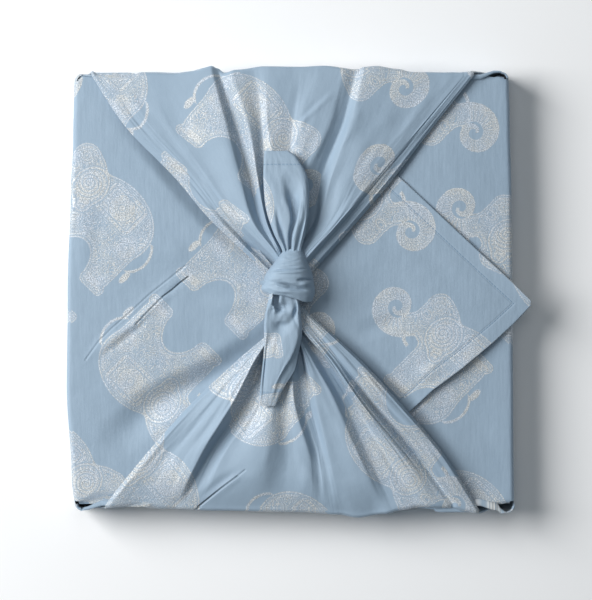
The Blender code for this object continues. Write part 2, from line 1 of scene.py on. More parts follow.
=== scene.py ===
"""The looks of the furoshiki wrap: a square of printed cotton folded round a flat parcel and tied on top.

Metres, +Z up. The cloth is one joined sheet. The knot's band and its two free ends are sheets of their own.
Plan positions are given in steps of the plan: x to the east and y to the south, PLAN metres a step.
"""

import math

import bmesh
import bpy
import numpy as np
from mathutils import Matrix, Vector


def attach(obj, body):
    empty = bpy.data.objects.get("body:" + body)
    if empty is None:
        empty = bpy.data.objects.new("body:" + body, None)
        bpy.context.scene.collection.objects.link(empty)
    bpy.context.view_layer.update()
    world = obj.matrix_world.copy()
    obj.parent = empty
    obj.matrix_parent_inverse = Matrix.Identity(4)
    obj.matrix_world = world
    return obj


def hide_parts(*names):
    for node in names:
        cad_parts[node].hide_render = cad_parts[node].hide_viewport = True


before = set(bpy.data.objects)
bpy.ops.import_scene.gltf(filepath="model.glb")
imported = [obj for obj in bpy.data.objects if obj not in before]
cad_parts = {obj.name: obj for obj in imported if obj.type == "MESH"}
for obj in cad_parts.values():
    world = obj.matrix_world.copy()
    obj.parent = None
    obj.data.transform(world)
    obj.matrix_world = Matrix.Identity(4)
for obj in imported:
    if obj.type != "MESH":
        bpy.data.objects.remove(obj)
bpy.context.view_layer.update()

MM = 0.001
PLAN = 0.685 * MM  # one step of the plan
MIDDLE = (290.8, 290.2)  # the plan position over the origin
UP = np.array([0.0, 0.0, 1.0])
SIGNS = {"east": 1, "north": 1, "west": -1, "south": -1}


def plan(px, py):
    """Metres east and north of the origin, of a plan position."""
    return (np.asarray(px, float) - MIDDLE[0]) * PLAN, (MIDDLE[1] - np.asarray(py, float)) * PLAN


def plan_mm(places):
    """The same in mm, for a list of plan positions."""
    x, y = plan([p[0] for p in places], [p[1] for p in places])
    return x / MM, y / MM


# -------- heights and outline, in mm
FLOOR_R = 3.0  # the bend from the floor to the walls
RIM_R = 3.0  # the bend from the walls to the top
CORNER_R = 4.5  # the four upright corners
WALL_OUT = 150.0  # from the middle to each wall at the floor
EAST_Z = 30.0  # the east flap, and the west flap over it
WEST_Z = 32.2
HEM_R = 0.7  # half the thickness of a turned edge
UP_WALL = 333.0  # from the cloth's middle, along it, to the parcel's edge and back to over the middle
TOP_EDGE = UP_WALL - WALL_OUT + RIM_R  # from the cloth's middle, along it, to the parcel's top edge
BEND_ROWS = 5
WALL_ROWS = 16
BULGE = 0.6  # how far a wall bulges halfway up

SWELLS = [  # x, y, radius, height of gentle swells that all layers on top share
    (-92, 52, 44, 0.9),
    (-104, -82, 30, -0.8),
    (-58, -56, 26, -0.9),
    (62, 18, 34, 0.7),
    (112, 74, 36, 0.8),
    (108, -88, 40, -0.6),
    (-10, 118, 42, 0.8),
    (18, -116, 44, 0.7),
]
# Pairs in mm: a place along a side, and how far out its top edge lies there. A wing is the end of a flap's wall
# that goes on round a corner, behind a gather.
OUTLINE = {
    "north": [(-152, 148.6), (-137.5, 149), (-135.7, 150.1), (-132.5, 147.7), (-107, 147.5), (-103, 149.3),
              (-78.6, 148.3), (-67, 149.8), (-54, 153.4), (-50.5, 152), (-45, 148.8), (-37.5, 150.8),
              (-18.4, 153.2), (6.3, 152.9), (22.7, 153.6), (44, 151.4), (46.7, 151.3), (49.5, 152.8),
              (58.4, 153.5), (72.7, 151.5), (83, 149.4), (117.3, 149), (124.8, 150.2), (136.5, 151.2),
              (144, 150.8), (152, 148.5)],
    "south": [(-152, 148), (-144.4, 151.2), (-136.2, 150.8), (-126.6, 149.6), (-119, 148.4),
              (-103.3, 147.7), (-96.4, 148.4), (-86.9, 149.9), (-53.3, 151.2), (6.3, 152.3), (34, 154),
              (45.3, 156.1), (64.5, 153.3), (76, 150.6), (88.5, 148.5), (111.8, 149.2), (120, 151.4),
              (128.2, 153.2), (152, 153.6)],
    "north_wing": [(-152, 147.9), (-137, 147.6), (-110, 146.9), (108, 146.9), (122, 148.6), (127, 149.8),
                   (134, 151), (143, 150.9), (147, 149.6), (152, 148.6)],
    "south_wing": [(-152, 150.4), (-147.8, 151), (-144.4, 151.9), (-136.2, 150.8), (-128, 149.2),
                   (-108, 146.7), (104, 146.9), (116, 148.4), (122, 150.6), (128.2, 152.9), (141.3, 154.6),
                   (146.7, 152.6), (152, 150)],
    "west": [(-152, 147.5), (-130, 150.4), (-66, 153.8), (0, 153.2), (70, 151), (102, 149.4), (136, 148.7),
             (152, 147)],
    "east": [(-152, 153.4), (-98, 152.9), (-16, 152.4), (6, 152.2), (62, 151.6), (122, 150.4),
             (140, 149.8), (152, 149)],
}
# How far in from a corner's outline its turned lip reaches, in mm, along x.
LIPS = {
    "nw": [(-152, 0.9), (-136, 0.9), (-110, 1.4)],
    "ne": [(110, 3), (130, 3.2), (135, 2.9), (139, 1.6), (144, 0.9), (152, 0.9)],
    "sw": [(-152, 1.4), (-145, 1.6), (-140, 2), (-134, 3.6), (-110, 3)],
    "se": [(110, 3.6), (128, 4.6), (134, 5), (141, 5), (146, 2.6), (152, 1.2)],
}

# -------- the two gathers
# One row for each fold line, west to east: the plan x at the parcel's edge and at three stations on the way to
# the knot, the plan position of its neck, its five heights in mm, its crispness, and how much cloth in mm is
# hidden in the fold at the neck.
NORTH_STATIONS = (126.7, 176.3, 220.1)
NORTH_FOLDS = [
    (92.5, 126.5, 174.7, 212, (268, 272), (35.4, 35.4, 35.8, 37, 39), 1, 0),
    (98, 133, 182, 219, (268.8, 270.2), (36.2, 36.6, 37.6, 41, 44.2), 0.3, 0),
    (108, 142, 190, 225.5, (269.8, 267.2), (36.4, 37.2, 38.4, 39.8, 34), 0.2, 8),
    (122, 152, 197, 231, (271.2, 262.6), (36.6, 37.8, 39.4, 40.6, 34.8), 0.1, 6),
    (150, 175, 208, 240, (273, 255.8), (37.2, 38.8, 40.8, 43, 44.8), 0, 0),
    (210, 226, 239.5, 252, (274.4, 251.8), (39.6, 43.4, 45.6, 46.4, 47), 0.2, 0),
    (219, 236, 248.5, 259.6, (276.2, 249.9), (36.4, 36, 36.2, 39.4, 46), 0.7, 14),
    (232, 249, 257.5, 266, (278.5, 249.6), (39.6, 42.6, 44, 45, 46.4), 0.4, 0),
    (254, 262, 264.5, 268.6, (281.5, 249), (37.4, 38.4, 37.4, 37.6, 40), 0.3, 14),
    (268, 269, 273, 276, (284.5, 248.5), (38.7, 41, 42, 43, 46), 0.2, 0),
    (300, 292, 288, 285, (288, 248), (38, 39, 38.4, 38, 41), 0.4, 10),
    (320, 304, 297, 292, (291.5, 248), (38.6, 41.4, 41.6, 42, 45.5), 0.1, 0),
    (342, 328, 307, 300, (295, 248), (38.7, 41, 41, 41, 44), 0, 0),
    (355, 341, 322, 313.5, (298, 248.5), (36.6, 36.8, 35.8, 35.6, 40), 0.5, 16),
    (364, 350, 332.5, 320.5, (300.6, 250), (38.8, 41.4, 41.8, 40.6, 43.6), 0.1, 0),
    (400, 377, 352, 331.5, (303.5, 253), (38, 40, 42.8, 44.4, 45.6), 0, 4),
    (440, 403, 366, 337.5, (305.5, 256), (37, 38.2, 41.4, 45.6, 47), 0, 0),
    (462, 420, 378.5, 340.6, (307, 258.6), (36.4, 36.8, 39.8, 45.6, 47.4), 0.5, 0),
    (464.8, 423.4, 383, 346, (308.8, 263.4), (36.3, 36, 37.6, 39.2, 40.8), 0.2, 8),
    (470, 429, 390.6, 353.8, (310.8, 269.4), (36.2, 35, 36.6, 38.8, 41.2), 0.2, 0),
    (473, 432, 394, 357.5, (311.5, 271.5), (35.4, 33.4, 33.8, 35, 37.6), 1, 0),
]
SOUTH_STATIONS = (453.7, 404, 360.3)
SOUTH_FOLDS = [
    (106.5, 147.5, 192, 238.7, (272, 331), (35.4, 35.6, 36.2, 38, 40), 1, 0),
    (110.5, 151, 196.5, 242, (274, 330), (36.8, 38, 39.6, 42.6, 44.6), 0.4, 0),
    (136, 168, 210, 247, (276, 327), (36.4, 37.8, 41.8, 45, 46), 0, 0),
    (160, 186, 222, 251, (277.2, 325), (36.8, 40.2, 44.6, 46.8, 47), 0, 0),
    (176, 201, 232, 255, (278.4, 323), (38.6, 43.4, 46.6, 47.8, 47.4), 0.3, 0),
    (184, 209, 242, 260.4, (280, 320.5), (36.4, 35.6, 34.8, 35, 38), 0.3, 14),
    (191, 215, 249, 264, (281.5, 318.5), (36.4, 35, 34.2, 34.4, 37), 0.2, 10),
    (202, 226, 259, 269, (284, 316), (37.6, 39, 38.6, 38.4, 40), 0.1, 0),
    (246, 264, 271.5, 275.4, (287, 313.5), (38.6, 43, 43.6, 42.6, 43), 0, 0),
    (284, 287, 286, 283.4, (290, 311.5), (36.8, 38, 40.4, 41, 42), 0, 8),
    (310, 308, 294.5, 292.5, (292.5, 312), (38.2, 41, 43.4, 43, 43), 0.4, 0),
    (322, 316.5, 302.5, 298.4, (293.6, 318), (38, 37.4, 36.4, 35.6, 38), 0.1, 10),
    (332, 322, 310, 302, (294.6, 324), (38.2, 37.4, 35.6, 35, 37), 0.2, 8),
    (342, 329, 317, 305.6, (295.6, 328.5), (38.4, 40.4, 42.2, 43, 43.4), 0.2, 0),
    (383, 357, 336, 312, (296.8, 331.5), (38.5, 42, 43, 42.4, 43), 0.3, 0),
    (394, 367, 344.5, 318.6, (297.8, 330), (36.8, 37, 34.6, 33.8, 36.4), 0.3, 14),
    (414, 384, 354.4, 326.2, (298.6, 328), (37, 36.4, 33.2, 33.2, 36), 0.5, 12),
    (427, 395, 358.4, 328.8, (299.2, 326), (38.2, 42, 45.4, 46.4, 46), 0.6, 0),
    (434, 401, 361.8, 331, (300.2, 322.5), (38.4, 42.6, 45.6, 46.2, 45.8), 0.1, 0),
    (446, 406.6, 365.4, 334.4, (301.2, 319), (37.6, 40, 42.2, 44.8, 45.2), 0.2, 0),
    (452.4, 416, 372, 338.6, (302, 316), (36.6, 33.2, 34.4, 43.2, 44.4), 0.5, 12),
    (456, 419.8, 375.8, 342.2, (302.8, 313.6), (38.4, 42, 44, 44.6, 44.6), 0.7, 0),
    (466, 431, 387, 350.5, (303.6, 311.8), (38.4, 42.2, 44, 44.4, 44.6), 0.1, 0),
    (475.8, 440.2, 397.6, 357.4, (304.2, 310.6), (37.8, 41.6, 43.2, 43.6, 43.8), 0.6, 0),
    (478, 442.5, 400, 359.5, (304.5, 310), (34.8, 35, 35.8, 37.4, 40), 1, 0),
]
DROOP = {"north": (9.0, 0.6), "south": (23.0, 8.0)}  # how far in and how deep a panel slopes down to its edge
KNOT_MIDDLE = (289.3, 281.4, 42.0)  # plan position and height
FOLD_STEPS = 10  # columns of points from one fold line to the next
GATHER_ROWS = 96
GATHER_FOOT = 141.0  # how far a gather reaches to each side at the floor
WALL_TURN = 18.0  # how wide its edges are turned behind it on the wall

# -------- the two plain flaps, in mm
# Pairs of x and y along a flap's north and south edges, how far out its ears hang there, where its slanting
# edges start, its tip, its height, and its rows and columns of points.
FLAPS = {
    "west": {
        "north": [(-152, 144.4), (-147, 144.6), (-144.6, 146.4), (-140, 147.1), (-130, 147), (-112, 145.2),
                  (4, 145.2), (71.4, 79.8), (126.9, 27.6), (151.9, 4.6), (164.2, -7.6)],
        "south": [(-152, -144.6), (-147, -144.6), (-144.4, -143.9), (-139, -141.2), (-134.8, -138.2),
                  (-130, -137.5), (-122.5, -137.5), (-104, -143.6), (4, -144.8), (79.6, -84.6),
                  (95.8, -69), (117.2, -53), (138.5, -35.2), (152.5, -22.3), (164.2, -10)],
        "ear_out": (147, 146.6),
        "slant": 4,
        "tip": 164.2,
        "level": WEST_Z,
        "size": (180, 176),
    },
    "east": {
        "north": [(-146, 2.2), (-10, 142.6), (20, 142.6), (90, 144.8), (116, 147), (127, 147.6),
                  (134, 146.9), (140, 146), (143.8, 146.8), (147, 144.8), (152, 144.8)],
        "south": [(-146, -0.2), (-10, -142.6), (20, -142.6), (90, -144.6), (116, -146.4), (128, -146.8),
                  (143, -146.6), (147, -144.8), (152, -144.6)],
        "ear_out": (146.4, 146.4),
        "slant": -10,
        "tip": -146,
        "level": EAST_Z,
        "size": (120, 110),
    },
}
EAR_DROP = 24.0  # how far a flap's ear hangs down an end wall
EAR_BEND = 2.0  # how far it drops in its bend
EAR_FOLD = 0.9  # and how much of that comes at once
EAR_AT = [16, 31, 32, 33, 35, 39, 43, 48, 53]  # mm of cloth past a flap's edge at each column of its ear
HEM_W = 9.0

# -------- creases
# path in plan steps, half width and height in mm, sharpness from 0 for a soft trough to 1 for a crisp one.
HOLLOWS = [  # soft troughs that both plain flaps share
    ([(325, 300), (290, 326), (256, 350), (234, 364), (205, 382), (177, 394), (152, 407), (126, 430),
      (92, 466)], 16, -6.6, 0),
    ([(318, 322), (345, 346), (372, 372), (400, 402), (430, 436), (470, 480)], 12, -4.2, 0),
    ([(300, 290), (330, 248), (372, 198), (410, 148), (450, 100)], 12, -3, 0),
    ([(100, 80), (134, 122), (176, 172), (219, 222), (250, 249), (300, 282)], 13, -5.2, 0),
]
WEST_CREASES = [
    ([(187.6, 270.6), (165.9, 294.8), (136.5, 321.6), (114.8, 337), (85.5, 362.4)], 5.5, 1.5, 0.5),
    ([(185.6, 266), (149.3, 294.8), (131.4, 311.4), (111, 329.3), (98.3, 342), (85.5, 360), (72.8, 383)],
     3, 0.5, 0.6),
    ([(190.7, 275.7), (182.4, 282), (167, 293.6), (154.4, 307.6), (136.5, 329.3), (111, 349.7), (93.2, 363.7)],
     2.6, -0.9, 0.7),
    ([(183, 281.6), (174, 288), (165.5, 295.4)], 2, -1.1, 0.9),
    ([(345, 336), (377, 327), (420, 313)], 9, -1, 0),
    ([(415, 380), (430, 371), (448, 362)], 8, 1, 0),
    ([(120, 236), (160, 250), (205, 262)], 14, 1, 0),
    ([(86, 180), (84, 240), (82, 300)], 10, 0.8, 0),
    ([(196, 300), (226, 306), (262, 300)], 9, 0.8, 0),
]
PRESSED_WEST = [  # crisp lines on the west flap: path in plan steps, and depth in mm
    ([(188, 277.5), (180, 283.5), (172, 290.5), (163, 297)], -1.1),
    ([(163, 297), (150, 310), (136.5, 324)], -0.5),
    ([(185.6, 266), (149.3, 294.8), (131.4, 311.4), (111, 329.3), (98.3, 342), (85.5, 360)], -0.35),
]
PRESSED_SOUTH = [  # crisp lines on the south panel
    ([(245, 469.6), (237.8, 475.6)], -0.5),
    ([(237.8, 475.6), (222.4, 487.3), (209, 498.4), (195.4, 509.6)], -1.2),
]
EAST_CREASES = [
    ([(300, 283), (322, 285), (345, 283), (368, 274)], 11, -3.2, 0),
    ([(395, 185), (440, 200), (500, 210)], 10, 0.7, 0),
    ([(430, 395), (470, 420), (505, 440)], 12, -0.7, 0),
]
NORTH_CREASES = [
    ([(335, 92), (318, 108), (296, 128)], 1.8, 0.9, 0.9),
    ([(330, 90), (314, 106), (293, 126)], 2.2, -0.5, 0.4),
    ([(360, 88), (355.6, 115.5), (347.6, 135.6), (340, 151)], 1.3, 0.7, 0.9),
    ([(356, 92), (351, 116), (343, 136)], 2, -0.4, 0.3),
]
SOUTH_CREASES = [
    ([(247, 469.4), (237.8, 476.8), (222.4, 488.5), (206.9, 502), (195, 512)], 2.4, 1.5, 0.6),
    ([(243, 466), (233, 473), (218, 484), (201, 498), (187, 511)], 4, -1.5, 0.4),
    ([(343, 491.6), (350, 503), (355.6, 515)], 2.6, 1, 0.8),
    ([(446, 491.6), (451, 500), (455.6, 508.8)], 2.4, -0.9, 0.8),
    ([(298, 446), (309, 462), (320, 478)], 5, -0.8, 0),
]


# -------- small mathematics
def eased(t, start=0.0, end=0.0):
    """0 to 1 as t goes from 0 to 1, with these slopes at its two ends: flat at 0, straight at 1."""
    rise = t * t * (3 - 2 * t)
    return rise + start * (t**3 - 2 * t**2 + t) + end * (t**3 - t**2)


def step(low, high, value):
    """0 below low, 1 above high, and eased between them."""
    return eased(np.clip((np.asarray(value, float) - low) / (high - low), 0, 1))


def along(table, place):
    """The second column of a table of pairs, in mm, at this place in its first column, eased between rows."""
    xs = np.array([row[0] for row in table], float)
    ys = np.array([row[1] for row in table], float)
    place = np.clip(np.asarray(place, float), xs[0], xs[-1])
    i = np.clip(np.searchsorted(xs, place) - 1, 0, len(xs) - 2)
    t = (place - xs[i]) / (xs[i + 1] - xs[i])
    return ys[i] + (ys[i + 1] - ys[i]) * eased(t)


def straight(table, place):
    """The same with straight lines between the rows."""
    return np.interp(place, [row[0] for row in table], [row[1] for row in table])


def smooth(stations, v):
    """Points on a smooth curve through stations, an array whose first axis v runs along."""
    stations = np.asarray(stations, float)
    slopes = np.gradient(stations, axis=0)
    v = np.clip(np.asarray(v, float), 0, len(stations) - 1)
    i = np.minimum(v.astype(int), len(stations) - 2)
    f = (v - i).reshape((-1,) + (1,) * (stations.ndim - 1))
    return (
        stations[i] * (2 * f**3 - 3 * f**2 + 1)
        + stations[i + 1] * (3 * f**2 - 2 * f**3)
        + slopes[i] * (f**3 - 2 * f**2 + f)
        + slopes[i + 1] * (f**3 - f**2)
    )


LATTICE = np.random.RandomState(7).rand(256, 256) * 2 - 1


def noise(u, v):
    """Smooth noise between -1 and 1 with a cell of one unit."""
    u, v = np.asarray(u, float), np.asarray(v, float)
    iu, iv = np.floor(u).astype(int), np.floor(v).astype(int)
    fu, fv = u - iu, v - iv
    fu, fv = fu**3 * (fu * (6 * fu - 15) + 10), fv**3 * (fv * (6 * fv - 15) + 10)
    a = LATTICE[iu % 256, iv % 256]
    b = LATTICE[(iu + 1) % 256, iv % 256]
    c = LATTICE[iu % 256, (iv + 1) % 256]
    d = LATTICE[(iu + 1) % 256, (iv + 1) % 256]
    return (a + (b - a) * fu) * (1 - fv) + (c + (d - c) * fu) * fv


def swell(x, y):
    """How much every layer on top rises here, in mm, for a place in mm."""
    total = 0.0
    for sx, sy, radius, height in SWELLS:
        total = total + height * np.exp(-((x - sx) ** 2 + (y - sy) ** 2) / radius**2)
    return total


def crease_height(x, y, creases):
    """The height in mm that the creases add at places in mm."""
    total = np.zeros(np.broadcast(x, y).shape)
    for path, half, height, sharp in creases:
        px, py = plan_mm(path)
        length = np.concatenate([[0], np.cumsum(np.hypot(np.diff(px), np.diff(py)))])
        best = np.full(total.shape, 1e9)
        where = np.zeros(total.shape)
        for i in range(len(px) - 1):
            dx, dy = px[i + 1] - px[i], py[i + 1] - py[i]
            t = np.clip(((x - px[i]) * dx + (y - py[i]) * dy) / (dx * dx + dy * dy), 0, 1)
            away = np.hypot(x - px[i] - t * dx, y - py[i] - t * dy)
            near = away < best
            best = np.where(near, away, best)
            where = np.where(near, length[i] + t * (length[i + 1] - length[i]), where)
        share = where / length[-1]
        end = 0.2 + 0.25 * (1 - sharp)  # soft creases die away more slowly
        fade = step(0, end, share) * step(0, end, 1 - share)
        near = np.clip(1 - best / half, 0, 1)
        total += height * fade * ((1 - sharp) * eased(near) + sharp * near**1.6)
    return total


def joined(*parts):
    """Arrays of x, of y and of z put together as points."""
    return np.stack(np.broadcast_arrays(*parts), axis=-1)


def unit(vectors):
    """Rows of vectors made one long."""
    return vectors / np.maximum(np.linalg.norm(vectors, axis=1, keepdims=True), 1e-9)


def side_point(side, place, out, z):
    """Points in mm at this distance along a side and out from the centre."""
    out = out * SIGNS[side]
    return joined(place, out, z) if side in ("north", "south") else joined(out, place, z)


# -------- the sheet
def placed(name, data):
    """A new object in the scene."""
    obj = bpy.data.objects.new(name, data)
    bpy.context.scene.collection.objects.link(obj)
    return obj


NO_HEM = 60.0  # mm from a hem, where none is near


class Sheet:
    """Grids of points with their places on the flat cloth, welded into one mesh."""

    def __init__(self):
        self.layers = {"points": [], "cloth": [], "hem": [], "pull": []}
        self.faces, self.count = [], 0

    def grid(self, points, flat, hem=(NO_HEM, 0), pull=None, flip=False):
        """points is rows x columns x 3 in mm; flat, hem and pull are rows x columns x 2."""
        rows, columns = points.shape[:2]
        index = self.count + np.arange(rows * columns).reshape(rows, columns)
        faces = joined(index[:-1, :-1], index[:-1, 1:], index[1:, 1:], index[1:, :-1]).reshape(-1, 4)
        self.faces.append(faces[:, ::-1] if flip else faces)
        pull = points[..., :2] if pull is None else pull
        for (name, kept), values in zip(self.layers.items(), (points, flat, hem, pull)):
            width = 3 if name == "points" else 2
            kept.append(np.broadcast_to(values, (rows, columns, width)).reshape(-1, width))
        self.count += rows * columns
        return index

    def strip(self, edge, columns, edge_flats, outward, distances, flip):
        """Columns that go on from an edge, each at its distance past it on the flat cloth."""
        flat = np.stack([edge_flats + outward * d for d in (0, *distances)], axis=1)
        self.grid(np.concatenate([edge[:, None], columns], axis=1), flat, NO_HEM, flip=flip)

    def object(self, name, extra_faces=()):
        points, *layers = (np.concatenate(values) * MM for values in self.layers.values())
        mesh = bpy.data.meshes.new(name)
        mesh.from_pydata(points.tolist(), [], np.concatenate(self.faces).tolist() + list(extra_faces))
        corner = np.empty(len(mesh.loops), np.int32)
        mesh.loops.foreach_get("vertex_index", corner)
        for layer, values in zip(("cloth", "hem", "pull"), layers):
            mesh.uv_layers.new(name=layer).data.foreach_set("uv", values[corner].astype(np.float32).ravel())
        bm = bmesh.new()
        bm.from_mesh(mesh)
        bmesh.ops.remove_doubles(bm, verts=bm.verts, dist=2e-5)
        bm.to_mesh(mesh)
        bm.free()
        mesh.shade_smooth()
        return placed(name, mesh)


def gather_columns(folds, stations, side):
    """The columns of a gather in mm, stations x columns x 3. Also how far out each ends, how much cloth is
    hidden up to it, and its place among the folds."""
    sign = SIGNS[side]
    count = len(folds)
    lines = np.zeros((5, count, 3))
    for k, (rim, a, b, c, neck, heights, *_) in enumerate(folds):
        xs = rim, a, b, c, neck[0]
        ys = 0, *stations, neck[1]
        lines[:, k, 0], lines[:, k, 1] = plan_mm(list(zip(xs, ys)))
        lines[:, k, 2] = heights
    crisp = np.array([row[6] for row in folds])
    hidden = np.array([row[7] for row in folds], float)
    place = np.linspace(0, count - 1, (count - 1) * FOLD_STEPS + 1)
    i = np.minimum(place.astype(int), count - 2)
    t = place - i
    mixed = lines[:, i] + (lines[:, i + 1] - lines[:, i]) * t[None, :, None]
    rise = eased(t, crisp[i], crisp[i + 1])
    mixed[:, :, 2] = lines[:, i, 2] + (lines[:, i + 1, 2] - lines[:, i, 2]) * rise
    out = along(OUTLINE[side], mixed[0, :, 0])
    mixed[0, :, 1] = sign * (out - RIM_R)
    jumps = np.zeros(len(place))
    for k in range(count):
        jumps += hidden[k] * step(k - 0.1, k + 0.1, place)
    jumps -= jumps[len(jumps) // 2]
    return mixed, out, jumps, place


TURN_ANGLES = [math.radians(degrees) for degrees in (36, 72, 108, 144, 180)]
TURN_SHARES = (0.12, 0.3, 0.6, 1.0)  # of the width that is turned under


def turned_edge(points, inward, widths, spread, down=-UP, sink=0.25):
    """Columns that go on from an edge: round under it and back by these widths, sinking a little on the way."""
    inward = unit(inward)
    columns = []
    for a in TURN_ANGLES:
        columns.append(points - inward * HEM_R * math.sin(a) + down * HEM_R * (1 - math.cos(a)))
    for share in TURN_SHARES:
        columns.append(points + spread * (widths[:, None] * share) + down * (2 * HEM_R + sink * share))
    return np.stack(columns, axis=1)


PRESSED_FLAT = []  # crisp lines on the flat cloth, in mm, and their depth


def press(lines, to_cloth):
    """Note where crisp lines on a surface lie on the flat cloth."""
    for path, depth in lines:
        PRESSED_FLAT.append(([to_cloth(float(x), float(y)) for x, y in zip(*plan_mm(path))], depth))


def nearest_on(points, flat, x, y):
    """The place on the flat cloth of a place on a grid of points."""
    away = (points[..., 0] - x) ** 2 + (points[..., 1] - y) ** 2
    row, column = np.unravel_index(np.argmin(away), away.shape)
    px, py = points[row, column, :2]
    u, v = flat[row, column]
    return float(u + (x - px)), float(v - (y - py))


def over_edge(side, place, out, z):
    """Rows that bend over the parcel's edge, each with how far round it is in radians."""
    for a in np.linspace(0, math.pi / 2, BEND_ROWS + 1)[1:]:
        yield a, side_point(side, place, out - RIM_R + RIM_R * math.sin(a), z - RIM_R * (1 - math.cos(a)))


TURN_AT = [0.44, 0.88, 1.32, 1.76, 2.2, 3.3, 5.0, 7.6, 11.2]  # mm of cloth past an edge at each turned column


def add_gather(sheet, side, folds, stations, creases):
    """A pleated panel from the knot over the top and the parcel's edge and down the end wall."""
    sign = SIGNS[side]
    mixed, out, jumps, place = gather_columns(folds, stations, side)
    rim_x = mixed[0, :, 0]
    knot_x, knot_y = plan_mm([KNOT_MIDDLE])
    knot = np.array((knot_x[0], knot_y[0], KNOT_MIDDLE[2]))
    full = np.concatenate([mixed, (mixed[-1] + (knot - mixed[-1]) * 0.4)[None]])
    v = np.linspace(0, len(mixed), GATHER_ROWS + 1)
    top = smooth(full, v)
    x, y = top[..., 0], top[..., 1]
    wrinkle = noise(place * 2.1 + 3, v[:, None] * 1.3 + (5 if sign > 0 else 25)) * 0.5
    wrinkle = wrinkle + noise(place * 4.3 + 9, v[:, None] * 2.1 + 40) * 0.25
    wrinkle = wrinkle * step(0.2, 1.2, np.minimum(place, place[-1] - place))
    top[..., 2] += swell(x, y) + crease_height(x, y, creases) * (1 - step(4.2, 4.6, v)[:, None])
    top[..., 2] += wrinkle * (0.35 + 0.65 * step(0, 1.2, v)[:, None]) * 0.8 + noise(x / 9, y / 9) * 0.16
    # The panel slopes down to the parcel's edge, and less so towards its slanting edges.
    reach, depth = DROOP[side]
    to_rim = np.clip(1 - (out - RIM_R - sign * y) / reach, 0, 1)
    droop = depth * (1 - 0.85 * step(54, 76, x)) * (1 - 0.85 * step(100, 120, -x))
    top[..., 2] -= droop * to_rim**2 * np.clip((top[..., 2] - 34.4) / 6.0, 0, 1)
    rim_z = top[0, :, 2]
    flat_top = joined(x + jumps * step(0.0, 4.6, v)[:, None], sign * UP_WALL - y)
    if side == "south":
        half = GATHER_ROWS // 2
        press(PRESSED_SOUTH, lambda px, py: nearest_on(top[:half], flat_top[:half], px, py))
    # Over the edge of the parcel and down the end wall.
    rows, flats = [top[::-1]], [flat_top[::-1]]
    for a, row in over_edge(side, rim_x, out, rim_z):
        rows.append(row[None])
        flats.append(joined(x[0], sign * (TOP_EDGE - RIM_R * a))[None])
    foot = GATHER_FOOT * np.linspace(-1, 1, len(place))
    for k in range(1, WALL_ROWS + 1):
        share = 1 - k / WALL_ROWS
        at = foot + (rim_x - foot) * share
        z = FLOOR_R + (rim_z - RIM_R - FLOOR_R) * share
        bulge = math.sin(math.pi * share)
        stand = WALL_OUT + (out - WALL_OUT) * share + BULGE * bulge
        stand = stand + noise(place * 1.7 + 60, share * 1.5) * 0.5 * bulge
        rows.append(side_point(side, at, stand, z)[None])
        flats.append(joined(at, sign * (WALL_OUT + z))[None])
    points, flat = np.concatenate(rows), np.concatenate(flats)
    top_rows = len(v)
    # The slanting edges are turned under, wide at the parcel's edge and narrow at the knot.
    v_row = np.concatenate([v[::-1], np.zeros(len(points) - top_rows)])
    near_rim = 1 - step(0.0, 0.5, v_row)[:, None]
    widths = np.maximum(np.where(v_row > 0, 46 - 10 * v_row, 30.0), 2.0)
    for first in (True, False):
        column = 0 if first else -1
        edge = points[:, column]
        inside = np.array([1.0 if first else -1.0, 0, 0])
        tangent = np.gradient(edge, axis=0)
        across = joined(-tangent[:, 1], tangent[:, 0], 0)
        across *= np.sign(across[:, :1]) * inside[0]
        turned = turned_edge(edge, inside * near_rim + across * (1 - near_rim), widths, inside)
        # On the wall the turned cloth lies behind the panel, not under it.
        wall = edge[top_rows:]
        widths_there, behind = np.full(len(wall), WALL_TURN), np.array([0, -sign, 0.0])
        hidden = turned_edge(wall, np.tile(inside, (len(wall), 1)), widths_there, inside, behind, 0)
        blend = step(-0.5, 5.5, np.arange(len(wall)))[:, None, None]
        turned[top_rows:] += (hidden - turned[top_rows:]) * blend
        sheet.strip(edge, turned, flat[:, column], -inside[:2], TURN_AT, flip=(side == "north") == first)
    pull = joined(place * 10.0, v_row[:, None] * 30.0)
    sheet.grid(points, flat, pull=pull, flip=side == "south")
    return foot


# -------- flaps and walls
def standing(name, place, share):
    """How far out a wall stands, in mm: share is 0 at the floor and 1 at its top."""
    bulge = BULGE * np.sin(np.pi * share)
    return WALL_OUT + (along(OUTLINE[name], place) - WALL_OUT) * share + bulge


def flap_edges(side, x):
    """The y in mm of a flap's south and north edges."""
    return straight(FLAPS[side]["south"], x), straight(FLAPS[side]["north"], x)


